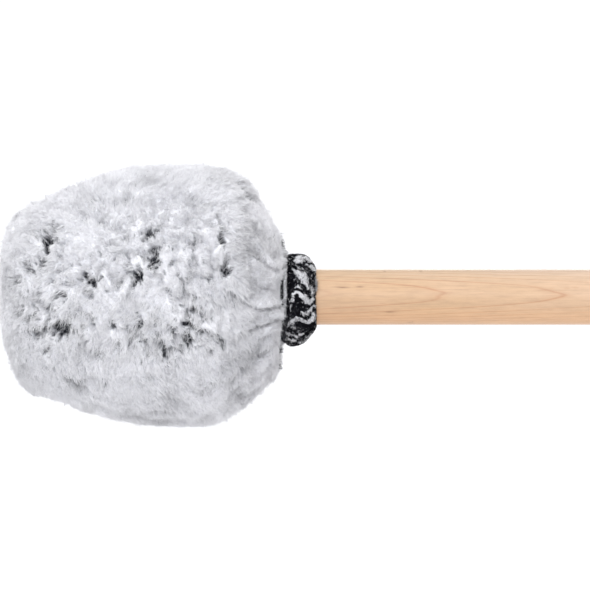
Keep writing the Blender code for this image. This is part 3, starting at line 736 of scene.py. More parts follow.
def borders(points, tree):
    """The nearest centre's number, and how much nearer it is than the next one, in metres."""
    owner = np.empty(len(points), np.int64)
    gap = np.empty(len(points))
    for i, p in enumerate(points.tolist()):
        found = tree.find_n(p, 2)
        owner[i], gap[i] = found[0][1], found[1][2] - found[0][2]
    return owner, gap


def under_pile(points, t, angle, normal):
    """How deep below the outside the under-pile lies, in millimetres, with the parted mask and the hollow mask, by
    which shade is painted into the hollows, creases and partings.
    """
    owner, inside = borders(points + 0.0011 * noise_vector(points, 0.0035, 40), tuft_tree)
    dome = smoothstep(inside, 0.0, 0.0022)  # 0 between two tufts, 1 well inside one
    warped = points + 0.0024 * noise_vector(points, 0.0075, 43) + 0.0010 * noise_vector(points, 0.0024, 46)
    clump, inside = borders(warped * HANG, clump_tree)
    mound = smoothstep(inside, 0.0, 0.0030)  # the same for the clumps
    parted, _away = mark_field(points, PARTINGS)
    thin, _away = mark_field(points, THIN)
    open_pile = np.clip(thin + 0.55 * busy_field(points) * smoothstep(noise3(points, 0.011, 58), -0.6, 0.5), 0, 1)
    groove = crease_field(points, angle)
    calm = 1 - 0.5 * smoothstep(t, 0.76, 0.93)  # the pile is shorter and smoother near the neck
    pleat = smoothstep(t, 0.78, 0.97)
    wave = np.cos(13 * angle + 1.3 * np.sin(3 * angle) + 0.6) * 0.5 + 0.5
    # Gathers all round the neck where the photograph doesn't show them: above, below and behind.
    behind = 1 - smoothstep(np.sin(angle), -0.10, 0.50)
    gather = 0.5 - 0.5 * np.cos(15 * angle + 2.2 * np.sin(2 * angle + 0.4) + 1.7 * noise3(points, 0.017, 191))
    gather = smoothstep(gather, 0.62, 1.0) * smoothstep(t, 0.66, 0.86) * behind * smoothstep(noise3(points, 0.014, 192), -0.6, 0.25)
    depth = PILE * (0.55 + 0.45 * calm)
    patchy = smoothstep(noise3(points, 0.009, 55), -0.35, 0.45)
    broken = smoothstep(noise3(points, 0.0060, 57) + 0.5 * noise3(points, 0.014, 52), -0.30, 0.55)
    valley = (1 - mound) * (0.12 + 0.88 * broken) * calm * (1 - 0.6 * still_field(points))
    still = still_field(points)
    depth = depth + (1 - 0.75 * still) * (0.45 * calm * (1 - dome) * patchy + 0.7 * calm * (1 - tuft_tall[owner]) * dome)
    cleft = open_pile * np.maximum((1 - mound) ** 1.5, 0.8 * (1 - dome) ** 2)  # the valleys open a little there
    parted = np.maximum(parted, 0.34 * cleft * smoothstep(noise3(points, 0.0036, 59), -0.35, 0.6))
    depth = depth + 1.9 * valley - 0.60 - (1.4 - 0.7 * still) * calm * clump_tall[clump] * mound
    bent = points + 0.004 * noise_vector(points, 0.012, 64)
    first, second = np.abs(noise3(bent, 0.015, 62)), np.abs(noise3(bent, 0.011, 67))
    narrow = np.maximum(1 - smoothstep(first, 0.0, 0.12), 0.8 * (1 - smoothstep(second, 0.0, 0.09)))
    line = 0.8 * (1 - smoothstep(first, 0.0, 0.42)) + 0.45 * (1 - smoothstep(second, 0.0, 0.36)) + 0.16 * narrow
    line = line * smoothstep(noise3(points, 0.020, 63), -0.55, 0.35) * (1 - 0.6 * busy_field(points))
    depth = depth + 1.35 * line + (0.6 + 1.1 * still * calm) * noise3(points, 0.018, 68) + (0.25 + 0.75 * still) * calm * streak_field(points)
    swept = (points + 0.004 * noise_vector(points, 0.014, 161)) * np.array([0.55, 1.0, 1.0])
    pinch = (1 - smoothstep(np.abs(noise3(swept, 0.0105, 163)), 0.0, 0.46)) * smoothstep(noise3(points, 0.013, 164), -0.45, 0.3) * still
    below = 0.5 + 0.5 * smoothstep(AXIS_Z - 0.022 - points[:, 2], -0.006, 0.010)
    slow = noise3(swept, 0.0115, 165) + 0.5 * noise3(swept, 0.0058, 166)
    pinch = np.clip(0.85 * pinch + 0.85 * below * smoothstep(slow, 0.0, 0.85) * still, 0, 1)
    depth = depth + 1.5 * pinch * calm
    depth = depth + 0.45 * smoothstep(t, 0.46, 0.58) * calm * noise3(points, 0.0048, 195)
    depth = depth + 0.7 * noise3(points, 0.0085, 50) + (0.30 - 0.2 * still) * calm * noise3(points, 0.0030, 51)
    parted = np.maximum(parted, 0.46 * smoothstep(groove, 0.62, 1.0) * (0.55 + 0.45 * smoothstep(noise3(points, 0.0030, 171), -0.4, 0.4)))
    depth = depth + 3.6 * smoothstep(parted, 0.10, 0.8) + 1.5 * groove - bulge_field(points)
    depth = depth + pleat * 0.45 * wave * (1 + 0.8 * noise3(points, 0.010, 56)) + 1.5 * gather
    # How far each place lies in a valley, crease, gather or parting, 0 to 1: the skin and the fibres are painted darker
    # by it, as shade in the hollows, and in the partings also as the dark backing.
    hollow = np.clip(0.22 * (1 - dome) * patchy * calm * (1 - 0.7 * still) + 0.48 * valley + 0.42 * line + 0.52 * pinch + 0.35 * cleft + 0.9 * smoothstep(parted, 0.05, 0.5) + 0.75 * groove + 0.55 * gather, 0, 1)
    return depth, parted, hollow


t_rows = np.concatenate([[0.0], np.linspace(0.004, 1.0, ROWS - 1)])
grid_t, grid_angle = np.meshgrid(t_rows, np.arange(COLUMNS) * 2 * math.pi / COLUMNS, indexing="ij")
flat_t, flat_angle = grid_t.ravel(), grid_angle.ravel()
points, normals, _m, _r = surface(flat_t, flat_angle)
depth, parted, hollow = under_pile(points, flat_t, flat_angle, normals)
depth *= smoothstep(1.0 - flat_t, -0.01, 0.02)[...]
skin_points = points - normals * depth[:, None] * MM
pole = flat_t < 1e-9
skin_points[pole] = skin_points[pole].mean(0)
skin_points[:, 2] = np.maximum(skin_points[:, 2], 0.0011)

# The skin goes on under the binding, turns over and comes back inside the head to the axis in front.
inside = [(127.4, 17.3), (131.2, 17.2), (139.5, 17.2), (139.5, 15.5), (127.0, 15.4)] + [
    (float(s), float(r)) for s, r in catmull(((122.0, 18.5), (112.0, 36.0), (100.0, 46.0), (84.0, 49.6), (60.0, 48.2), (36.0, 41.8), (20.0, 34.0), (12.4, 20.0), (11.2, 8.0)), 16)
]
lining_rows = []
for s, r in inside:
    angle = grid_angle[0]
    lining_rows.append(
        np.stack([np.full(COLUMNS, X_FRONT + s * MM), -np.sin(angle) * r * MM, AXIS_Z + np.cos(angle) * r * MM], axis=1)
    )
all_points = np.vstack([skin_points] + lining_rows)
rows_total = ROWS + len(inside)
faces = grid_faces(rows_total, COLUMNS)
apex = len(all_points)
all_points = np.vstack([all_points, [[X_FRONT + 11.1 * MM, 0.0, AXIS_Z]]])


def triangles(quads):
    return np.concatenate([quads[:, [0, 1, 2]], quads[:, [0, 2, 3]]])


tri = triangles(faces)
last = (rows_total - 1) * COLUMNS
j = np.arange(COLUMNS)
cap = np.stack([last + j, last + (j + 1) % COLUMNS, np.full(COLUMNS, apex)], axis=1)
tri = np.vstack([tri, cap])
# The first row is one point: weld it.
weld = np.arange(len(all_points))
weld[:COLUMNS] = 0
tri = weld[tri]
tri = tri[(tri[:, 0] != tri[:, 1]) & (tri[:, 1] != tri[:, 2]) & (tri[:, 0] != tri[:, 2])]
keep = np.unique(tri)
renumber = np.full(len(all_points), -1)
renumber[keep] = np.arange(len(keep))
tri = renumber[tri]
extra = len(all_points) - len(skin_points)
parted_all = np.concatenate([parted, np.zeros(extra)])[keep]
hollow_all = np.concatenate([hollow, np.full(extra, 0.3)])[keep]
column = np.tile(np.arange(COLUMNS), rows_total)
row = np.repeat(np.arange(rows_total), COLUMNS)
# Faces look outwards.
a, b, c = (all_points[keep][tri[:, k]] for k in range(3))
if np.einsum("ij,ij->i", a, np.cross(b, c)).sum() < 0:
    tri = tri[:, ::-1]
grid_u = np.append(column / COLUMNS, 0.5)[keep]
grid_v = np.append(row / (rows_total + 1), 1.0)[keep]
corner_u, corner_v = grid_u[tri], grid_v[tri]
wrap = (corner_u.max(1) - corner_u.min(1)) > 0.5
corner_u = np.where(wrap[:, None] & (corner_u < 0.5), corner_u + 1.0, corner_u)
skin_uv = np.stack([corner_u * 0.985 + 0.004, corner_v * 0.99 + 0.004], axis=-1)
fleece = mesh_of("fleece_cover_skin", all_points[keep], tri, SKIN, uv=skin_uv)
give(fleece, "parted", parted_all)
# The depth attribute carries the hollow mask, by which shade is painted into the skin's hollows and creases.
give(fleece, "depth", hollow_all)
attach(fleece, "root")
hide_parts("fleece_cover")

# ================================================================ the pile itself
_corner = {}


def fibre_template(rings):
    """Faces and map of one three-sided fibre with that many rings, a tip and a root cap."""
    if rings in _corner:
        return _corner[rings]
    faces, uvs = [], []
    across = (-1.0, 1.0, 0.0)
    top = rings  # the tip is at the height of one more ring
    for i in range(rings - 1):
        for k in range(3):
            m = (k + 1) % 3
            a, b, c, d = i * 3 + k, i * 3 + m, (i + 1) * 3 + m, (i + 1) * 3 + k
            for tri in ((a, b, c), (a, c, d)):
                faces.append(tri)
                uvs.append([(across[x % 3], (x // 3) / top) for x in tri])
    tip = rings * 3
    for k in range(3):
        m = (k + 1) % 3
        tri = ((rings - 1) * 3 + k, (rings - 1) * 3 + m, tip)
        faces.append(tri)
        uvs.append([(across[k], (rings - 1) / top), (across[m], (rings - 1) / top), (0.3, 1.0)])
    faces.append((2, 1, 0))
    uvs.append([(across[2], 0.0), (across[1], 0.012), (across[0], 0.0)])
    _corner[rings] = (np.array(faces), np.array(uvs, float))
    return _corner[rings]


def fibres(name, path, radius, tone, material, generator, per_piece=12000):
    """Tapered fibres as closed meshes. path is (fibres, points, 3) in metres, radius the root radius in metres,
    tone 0 to 1."""
    count, length, _ = path.shape
    rings = length - 1
    tangent = unit(np.gradient(path, axis=1))
    spin = generator.normal(size=(count, 1, 3))
    side = unit(np.cross(tangent, spin))
    other = np.cross(tangent, side)
    taper = np.array([1.0, 0.92, 0.66, 0.4, 0.3])[:rings]
    ring = []
    for k in range(3):
        angle = 2 * math.pi * k / 3
        offset = math.cos(angle) * side[:, :rings] + math.sin(angle) * other[:, :rings]
        ring.append(path[:, :rings] + offset * (radius[:, None] * taper)[..., None])
    vertices = np.stack(ring, axis=2).reshape(count, rings * 3, 3)
    vertices = np.concatenate([vertices, path[:, -1:]], axis=1)
    faces, uvs = fibre_template(rings)
    made = []
    for part, lo in enumerate(range(0, count, per_piece)):
        v = vertices[lo : lo + per_piece]
        n = len(v)
        f = faces[None] + (np.arange(n) * v.shape[1])[:, None, None]
        uv = np.broadcast_to(uvs[None], (n, *uvs.shape)).copy()
        shade = tone[lo : lo + per_piece].copy()
        shade[:2], shade[2:4] = 0.03, 0.97  # every piece uses the whole width of its map
        uv[..., 0] = np.clip(0.012 + 0.976 * shade[:, None, None], 0.008, 0.992) + uv[..., 0] * 0.004
        uv[..., 1] = 0.01 + 0.98 * uv[..., 1]
        obj = mesh_of(f"{name}_{part + 1}", v.reshape(-1, 3), f.reshape(-1, 3), material, uv=uv)
        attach(obj, "root")
        made.append(obj)
    return made


def pile(count, generator, length_scale=1.0, thick=0.16, stray=False):
    """Paths, radii and tones of the head's fibres."""
    t, angle = scattered(count, generator)
    point, normal, meridian, around = surface(t, angle)
    depth, parted, _h = under_pile(point, t, angle, normal)
    keep = (parted < generator.uniform(0.20, 1.20, count)) & (t < 0.992)
    t, angle, point, normal, meridian, around, depth, parted, _h = (
        x[keep] for x in (t, angle, point, normal, meridian, around, depth, parted, _h)
    )
    count = len(t)
    lock, distance = nearest(point + 0.0007 * noise_vector(point, 0.003, 60), lock_tree)
    owner = lock_tuft[lock]
    _s, away = mark_field(point, PARTINGS)
    calm = 1 - 0.6 * smoothstep(t, 0.76, 0.93)
    shade = smoothstep(parted, 0.10, 0.55)
    thin, _a = mark_field(point, THIN)
    patch = noise3(point, 0.0045, 75)
    open_pile = np.clip(thin + 0.45 * busy_field(point), 0, 1)
    mottle = smoothstep(noise3(point, 0.0024, 76) + 0.6 * noise3(point, 0.0060, 77), 0.0, 0.75)
    dark = generator.random(count) < np.maximum(0.78 * shade, (0.12 * open_pile + 0.34 * thin) * mottle)
    still = still_field(point)
    lean = lock_lean[lock] + 0.10 * away + (0.30 - 0.12 * still)[:, None] * generator.normal(size=(count, 3))
    lean -= normal * (lean * normal).sum(1, keepdims=True)
    lean = np.where(dark[:, None], 0.6 * lean, lean)
    root = point - normal * (depth + 0.7)[:, None] * MM
    rise = (PILE + 0.75) * (0.55 + 0.45 * calm) * (tuft_tall[owner] * lock_tall[lock]) ** 0.35
    rise = rise + 0.12 * (depth - PILE).clip(-1.0, 1.2)  # fibres in a hollow are a little longer
    rise = rise * generator.uniform(0.84, 1.08, count) * length_scale * np.where(dark, 0.72, 1.0)
    if stray:
        rise = rise * generator.uniform(1.02, 1.5, count) + 0.4
    steps = np.array([0.0, 0.36, 0.72, 1.0])
    up = 1 - (1 - steps) ** 1.6
    out = steps**1.4
    hanging = (1 - still) * smoothstep(AXIS_Z + 0.008 - point[:, 2], -0.012, 0.012)
    reach = 2.0 * MM * (0.55 + 0.45 * calm) * lock_tall[lock] * (1 + 0.5 * still + 0.35 * hanging)
    path = (
        root[:, None]
        + normal[:, None] * (rise[:, None] * up)[..., None] * MM
        + lean[:, None] * (reach[:, None] * out)[..., None]
    )
    # The fibres of a lock draw together towards its tip.
    tip = lock_point[lock] + lean * reach[:, None] - lock_normal[lock] * 0.35 * MM
    pull = (0.34 + 0.16 * hanging)[:, None] * steps**1.5
    drop = tip - path[:, -1]
    path = path + drop[:, None] * pull[..., None] * (0.25 if stray else 1.0)
    curl = noise_vector(root + 0.002 * generator.normal(size=(count, 1)), 0.0016, 80)
    path = path + curl[:, None] * (1 - 0.5 * still)[:, None, None] * (0.50 * MM * steps**1.1)[None, :, None]
    kink = generator.normal(size=(count, len(steps), 3)) * (0.10 * MM * np.minimum(1.0, 3 * steps))[None, :, None]
    path = path + kink
    path[..., 2] = np.maximum(path[..., 2], 0.0005 + 0.0006 * generator.random(count)[:, None])
    radius = thick * MM * generator.uniform(0.7, 1.2, count)
    # Brightness of each fibre: random tone per tuft and lock; painted shade in the hollows, partings and creases, in
    # the troughs of the combed strips and where the form turns from the light; greyer in the thin zones, where the dark
    # backing shows through.
    light = 0.992 + 0.016 * (tuft_tone[owner] - 0.5) + (0.024 + 0.022 * still) * (lock_tone[lock] - 0.5) + 0.008 * generator.normal(size=count)
    light = light - 0.135 * np.clip(_h - 0.08, 0, 1) - (0.018 + 0.032 * still) * np.clip(streak_field(point), -0.3, 1.0)
    light = light - 0.17 * thin * smoothstep(patch, -0.35, 0.55) - 0.055 * open_pile * mottle
    light = light - 0.17 * crease_field(point, angle) - painted_form_shade(point)
    tone = tone_of(np.clip(light, 0.35, 1.0))
    tone = np.where(dark, generator.uniform(0.0, 0.46, count) + 0.16 * (1 - smoothstep(parted, 0.2, 0.6)), tone)
    return path, radius, tone


def undercoat(count, generator):
    """Short fuzz in all directions that covers the matted skin between the longer fibres."""
    t, angle = scattered(count, generator)
    point, normal, meridian, around = surface(t, angle)
    depth, parted, _h = under_pile(point, t, angle, normal)
    keep = (parted < generator.uniform(0.10, 0.6, count)) & (t < 0.992)
    point, normal, depth, _h = point[keep], normal[keep], depth[keep], _h[keep]
    count = len(point)
    root = point - normal * (depth + 0.4)[:, None] * MM
    lean = generator.normal(size=(count, 3))
    lean -= normal * (lean * normal).sum(1, keepdims=True)
    steps = np.array([0.0, 0.55, 1.0])
    path = root[:, None] + normal[:, None] * (generator.uniform(1.3, 2.1, count)[:, None] * (1 - (1 - steps) ** 1.4))[..., None] * MM
    path = path + lean[:, None] * (0.85 * MM * steps**1.3)[None, :, None]
    path[..., 2] = np.maximum(path[..., 2], 0.0005 + 0.0006 * generator.random(count)[:, None])
    # Greyer in the hollows and where the form turns from the light: painted shade.
    tone = tone_of(np.clip(0.99 + 0.01 * generator.normal(size=count) - 0.16 * _h - painted_form_shade(point), 0.35, 1.0))
    return path, 0.11 * MM * generator.uniform(0.7, 1.2, count), tone


def wisps(count, each, generator):
    """Little points of pile that stand off the rest and make the outline uneven."""
    t, angle = scattered(count, generator)
    t = np.minimum(t, 0.93)
    point, normal, meridian, around = surface(t, angle)
    parted, _a = mark_field(point, PARTINGS)
    fewer = np.where(np.abs(normal[:, 1]) < 0.26, 0.25, 0.85)
    keep = (parted < 0.15) & (generator.random(len(t)) > fewer * still_field(point))
    point, normal, around, meridian = point[keep], normal[keep], around[keep], meridian[keep]
    n = len(point)
    lean = 0.75 * generator.normal(size=(n, 3)) + 0.25 * np.array([0.0, 0.0, -1.0])
    lean -= normal * (lean * normal).sum(1, keepdims=True)
    tall = generator.uniform(0.5, 1.7, n)

    def many(a):
        return np.repeat(a, each, axis=0)

    spread = generator.normal(size=(n * each, 2)) * 0.55 * MM
    root = many(point) - many(normal) * 2.2 * MM + many(around) * spread[:, :1] + many(meridian) * spread[:, 1:]
    tip = many(point) + many(normal) * (many(tall) * generator.uniform(0.6, 1.1, n * each))[:, None] * MM
    tip = tip + many(lean) * (1.5 * MM) + 0.28 * MM * generator.normal(size=(n * each, 3))
    steps = np.array([0.0, 0.36, 0.72, 1.0])
    path = root[:, None] + (tip - root)[:, None] * steps[:, None]
    path = path + many(normal)[:, None] * (0.55 * MM * np.sin(steps * math.pi))[None, :, None]
    path = path + noise_vector(root, 0.0016, 80)[:, None] * (0.4 * MM * steps)[None, :, None]
    path[..., 2] = np.maximum(path[..., 2], 0.0006)
    # Greyer than the pile, painted shade, so that the wisps, which stand in full light, match it; greyer again where
    # the form turns from the light.
    light = 0.885 + 0.015 * generator.normal(size=n * each) - many(painted_form_shade(point))
    return path, 0.058 * MM * generator.uniform(0.7, 1.2, n * each), tone_of(np.clip(light, 0.35, 1.0))


FIBRES = 184000
pile_rng = np.random.default_rng(31)
path, radius, tone = pile(FIBRES, pile_rng, thick=0.088)
fur = fibres("fleece_pile", path, radius, tone, FUR, pile_rng)
path, radius, tone = pile(FIBRES // 9, pile_rng, thick=0.062, stray=True)
loose = fibres("fleece_stray", path, radius, tone, FUR, pile_rng)

path, radius, tone = undercoat(50000, pile_rng)
fuzz = fibres("fleece_undercoat", path, radius, tone, FUR, pile_rng, per_piece=19000)
path, radius, tone = wisps(700, 9, pile_rng)
points_of_pile = fibres("fleece_wisp", path, radius, tone, FUR, pile_rng)

# ================================================================ fluff at the neck, over the binding cord
def ring_points(s, r, angle):
    """Points in metres at that station, radius and angle, all arrays or numbers."""
    s, r, angle = np.broadcast_arrays(np.asarray(s, float), np.asarray(r, float), np.asarray(angle, float))
    return np.stack([X_FRONT + s * MM, -np.sin(angle) * r * MM, AXIS_Z + np.cos(angle) * r * MM], axis=-1)


def around_frame(angle):
    zero = np.zeros_like(angle)
    return np.stack([zero, -np.sin(angle), np.cos(angle)], axis=-1), np.stack([zero, -np.cos(angle), -np.sin(angle)], axis=-1)


fluff_rng = np.random.default_rng(41)
count = 5200
angle = fluff_rng.random(count) * 2 * math.pi
cover = covering(angle)
keep = fluff_rng.random(count) < 0.25 + 0.75 * cover
angle, cover = angle[keep], cover[keep]
count = len(angle)
r0 = 19.6 + 3.4 * fluff_rng.random(count) ** 1.3
root = ring_points(127.2 + 0.3 * fluff_rng.random(count), r0, angle)
radial, around = around_frame(angle)
steps = np.array([0.0, 0.36, 0.72, 1.0])
ahead = (0.8 + 2.1 * cover) * fluff_rng.uniform(0.75, 1.15, count) * (1 - 0.4 * (r0 - 19.6) / 3.4)
rise = 0.55 + 0.5 * fluff_rng.random(count) - 0.30 * (r0 - 19.6) * cover
uneven = np.clip(1 + 0.75 * noise3(root, 0.0035, 92), 0.35, 1.6)
ahead, rise = ahead * uneven, rise * uneven
swerve = 0.9 * noise3(root, 0.004, 90) + 0.35 * fluff_rng.normal(size=count)
path = (
    root[:, None]
    + (ahead[:, None] * steps)[..., None] * MM * np.array([1.0, 0, 0])
    + radial[:, None] * (rise[:, None] * np.sin(steps * 2.2))[..., None] * MM
    + around[:, None] * (swerve[:, None] * steps**1.5)[..., None] * MM
)
tone = np.clip(0.72 + 0.1 * fluff_rng.normal(size=count), 0.45, 1.0)
fluff = fibres(
    "fleece_neck_fluff", path, 0.13 * MM * fluff_rng.uniform(0.7, 1.2, count), tone, FUR, fluff_rng
)

# Small dark tufts of the fleece's backing that stick out at the gathered edge.
nap_rng = np.random.default_rng(45)
roots, leans, tones = [], [], []
for column, row, amount, spread in ((282.0, 240.0, 34, 0.9), (284.5, 246.5, 40, 0.8), (282.6, 350.5, 34, 0.6), (282.2, 366.5, 34, 0.55)):
    s, h = station(column), height(row)
    up = 1.0 if h > 0 else -1.0
    middle = np.array([X_FRONT + s * MM, -3.0 * MM, AXIS_Z + h * MM])
    roots.append(middle + nap_rng.normal(size=(amount, 3)) * np.array([0.35, 2.6, 1.7]) * spread * MM - np.array([1.1 * MM, 0, 0]))
    leans.append(np.array([1.0, 0.0, 0.25 * up]) * nap_rng.uniform(0.8, 1.7, amount)[:, None] + 0.45 * nap_rng.normal(size=(amount, 3)))
    tones.append(nap_rng.uniform(0.0, 0.42, amount))
root, lean, tone = np.vstack(roots), np.vstack(leans), np.concatenate(tones)
steps = np.array([0.0, 0.4, 0.75, 1.0])
path = root[:, None] + lean[:, None] * steps[:, None] * MM + nap_rng.normal(size=(len(root), 4, 3)) * (0.16 * MM * steps)[None, :, None]
nap = fibres("fleece_edge_nap", path, 0.10 * MM * nap_rng.uniform(0.7, 1.2, len(root)), tone, FUR, nap_rng)

# ================================================================ the cord that draws the fleece in
def cord_material():
    made, tree, shader = new_material("black_cord")
    place = node(tree, "ShaderNodeTexCoord").outputs["Object"]
    fibre = node(tree, "ShaderNodeTexNoise", in_Scale=2600.0, in_Detail=3.0, in_Roughness=0.65)
    patch = node(tree, "ShaderNodeTexNoise", in_Scale=420.0, in_Detail=1.0)
    tree.links.new(place, fibre.inputs["Vector"])
    tree.links.new(place, patch.inputs["Vector"])
    colour = ramp(tree, fibre.outputs["Fac"], [(0.3, (0.006, 0.006, 0.009)), (0.62, (0.020, 0.021, 0.028)), (0.8, (0.085, 0.088, 0.10))])
    worn = ramp(tree, patch.outputs["Fac"], [(0.45, grey(0.6)), (0.7, grey(1.5))])
    tree.links.new(mix_colour(tree, 1.0, colour, worn, "MULTIPLY"), shader.inputs["Base Color"])
    shader.inputs["Roughness"].default_value = 0.85
    shader.inputs["Specular IOR Level"].default_value = 0.25
    bump = node(tree, "ShaderNodeBump", in_Strength=0.5, in_Distance=0.0002)
    tree.links.new(fibre.outputs["Fac"], bump.inputs["Height"])
    tree.links.new(bump.outputs["Normal"], shader.inputs["Normal"])
    return made


def tube_grid(path, radius, sides, normal_a, normal_b):
    """Points of a closed tube along a closed path, with the two directions across it."""
    a = np.arange(sides) * 2 * math.pi / sides
    return (
        path[:, None]
        + np.cos(a)[None, :, None] * (radius[:, None] * normal_a)[:, None]
        + np.sin(a)[None, :, None] * (radius[:, None] * normal_b)[:, None]
    )


def closed_tube_faces(rows, sides):
    i, j = np.meshgrid(np.arange(rows), np.arange(sides), indexing="ij")
    k, m = (i + 1) % rows, (j + 1) % sides
    return np.stack([i * sides + j, i * sides + m, k * sides + m, k * sides + j], axis=-1).reshape(-1, 4)


def closed_tube_uv(rows, sides, v0=0.0, v1=1.0):
    i, j = np.meshgrid(np.arange(rows), np.arange(sides), indexing="ij")
    corners = [(i, j), (i, j + 1), (i + 1, j + 1), (i + 1, j)]
    u = np.stack([a / rows for a, b in corners], axis=-1).reshape(-1, 4)
    v = np.stack([b / sides for a, b in corners], axis=-1).reshape(-1, 4)
    return np.stack([0.005 + 0.99 * u, 0.005 + 0.99 * (v0 + (v1 - v0) * v)], axis=-1)


def outward(points, faces):
    """Whether the faces of a closed part look outwards, judged by their volume."""
    a, b, c = points[faces[:, 0]], points[faces[:, 1]], points[faces[:, 2]]
    volume = np.einsum("ij,ij->i", a - points.mean(0), np.cross(b - points.mean(0), c - points.mean(0))).sum()
    if faces.shape[1] == 4:
        d = points[faces[:, 3]]
        volume += np.einsum("ij,ij->i", a - points.mean(0), np.cross(c - points.mean(0), d - points.mean(0))).sum()
    return volume > 0


PLIES, TURNS, CORD_ROWS = 3, 34, 680
cord_points, cord_faces, cord_uv = [], [], []
for ply in range(PLIES):
    a = np.arange(CORD_ROWS) * 2 * math.pi / CORD_ROWS
    twist = TURNS * a + ply * 2 * math.pi / PLIES
    radial, around = around_frame(a)
    wander = 0.12 * np.sin(3 * a + 1.0) + 0.08 * np.sin(7 * a)
    path = (
        ring_points(128.95 + wander + 0.42 * np.sin(twist), 18.62 + 0.42 * np.cos(twist), a)
    )
    grid = tube_grid(path, np.full(CORD_ROWS, 0.50 * MM), 10, radial, np.tile([1.0, 0, 0], (CORD_ROWS, 1)))
    f = closed_tube_faces(CORD_ROWS, 10)
    if not outward(grid.reshape(-1, 3), f):
        f = f[:, ::-1]
    cord_points.append(grid.reshape(-1, 3))
    cord_faces.append(f + ply * CORD_ROWS * 10)
    cord_uv.append(closed_tube_uv(CORD_ROWS, 10, ply / 3, (ply + 0.96) / 3))
cord = mesh_of("neck_cord", np.vstack(cord_points), np.vstack(cord_faces), cord_material(), uv=np.vstack(cord_uv))
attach(cord, "root")
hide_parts("neck_tie_cord")

# ================================================================ the pale edging between the cord and the collar
EDGE_ROWS, EDGE_SIDES = 720, 14
a = np.arange(EDGE_ROWS) * 2 * math.pi / EDGE_ROWS
radial, around = around_frame(a)
low = 0.5 - 0.5 * np.cos(a)  # 1 at the underside
lump = 0.5 + 0.5 * np.sin(74 * a + 2.0 * np.sin(5 * a))
edge_path = ring_points(130.35 - 0.25 * low + 0.12 * np.sin(9 * a), 18.25 + 1.55 * low + 0.15 * np.sin(6 * a + 1), a)
thickness = (0.62 + 0.20 * lump + 0.10 * np.sin(13 * a)) * MM
grid = tube_grid(edge_path, thickness, EDGE_SIDES, radial * (1 + 0.35 * low)[:, None], np.tile([1.0, 0, 0], (EDGE_ROWS, 1)))
f = closed_tube_faces(EDGE_ROWS, EDGE_SIDES)
if not outward(grid.reshape(-1, 3), f):
    f = f[:, ::-1]


def edging_material():
    made, tree, shader = new_material("grey_edging")
    place = node(tree, "ShaderNodeTexCoord").outputs["Object"]
    loops = node(tree, "ShaderNodeTexNoise", in_Scale=900.0, in_Detail=3.0, in_Roughness=0.6)
    tree.links.new(place, loops.inputs["Vector"])
    colour = ramp(tree, loops.outputs["Fac"], [(0.3, grey(0.12, 1.05)), (0.5, grey(0.44, 1.03)), (0.7, grey(0.74, 1.03))])
    pale = node(tree, "ShaderNodeAttribute", attribute_name="pale").outputs["Fac"]
    colour = mix_colour(tree, pale, (0.010, 0.010, 0.014), colour)
    tree.links.new(colour, shader.inputs["Base Color"])
    shader.inputs["Roughness"].default_value = 0.95
    shader.inputs["Specular IOR Level"].default_value = 0.12
    bump = node(tree, "ShaderNodeBump", in_Strength=0.6, in_Distance=0.0003)
    tree.links.new(loops.outputs["Fac"], bump.inputs["Height"])
    tree.links.new(bump.outputs["Normal"], shader.inputs["Normal"])
    return made


edging = mesh_of("neck_edging", grid.reshape(-1, 3), f, edging_material(), uv=closed_tube_uv(EDGE_ROWS, EDGE_SIDES))
pale = 0.06 + 0.94 * (1 - smoothstep(a, math.radians(104), math.radians(122))) + smoothstep(a, math.radians(215), math.radians(240))
give(edging, "pale", np.repeat(np.clip(pale, 0, 1), EDGE_SIDES))
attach(edging, "root")
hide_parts("collar_edging")
edge_rng = np.random.default_rng(43)
count = 5000
index = edge_rng.integers(0, EDGE_ROWS, count)
turn = edge_rng.uniform(-1.9, 1.9, count)
out_dir = np.cos(turn)[:, None] * radial[index] + np.sin(turn)[:, None] * np.array([1.0, 0, 0])
root = edge_path[index] + out_dir * (0.6 * thickness[index])[:, None]
bend = unit(out_dir + 0.8 * edge_rng.normal(size=(count, 3)))
steps = np.array([0.0, 0.5, 1.0])
reach = edge_rng.uniform(0.5, 1.05, count)
path = root[:, None] + (out_dir[:, None] * steps[:, None] * 0.45 + bend[:, None] * (steps**1.4)[:, None] * 0.7) * (reach[:, None, None]) * MM
tone = np.clip(0.60 + 0.16 * edge_rng.normal(size=count), 0.30, 0.95)
tone = np.where(edge_rng.random(count) < np.clip(pale, 0, 1)[index], tone, edge_rng.uniform(0.0, 0.3, count))
edge_fur = fibres("edging_pile", path, 0.085 * MM * edge_rng.uniform(0.7, 1.2, count), tone, FUR, edge_rng)

# ================================================================ the marled collar
COLLAR_TOP = [(131.4, 17.8), (131.3, 18.7), (132.4, 19.4), (134.5, 19.7), (136.6, 19.8), (139.4, 18.9), (141.6, 16.9), (143.2, 14.9), (144.0, 13.4), (143.9, 12.95)]
COLLAR_LOW = [(130.9, 18.0), (130.7, 20.4), (131.8, 21.9), (133.6, 22.2), (135.8, 22.0), (139.0, 20.5), (142.0, 17.6), (143.7, 15.2), (144.3, 13.6), (144.2, 12.95)]
COLLAR_IN = [(142.2, 12.9), (140.8, 13.2), (140.4, 15.4), (139.6, 17.7), (135.5, 17.75)]
BAND_COLUMNS, BAND_ROWS = ((840, 110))
outer_top, outer_low = catmull(COLLAR_TOP, BAND_ROWS), catmull(COLLAR_LOW, BAND_ROWS)

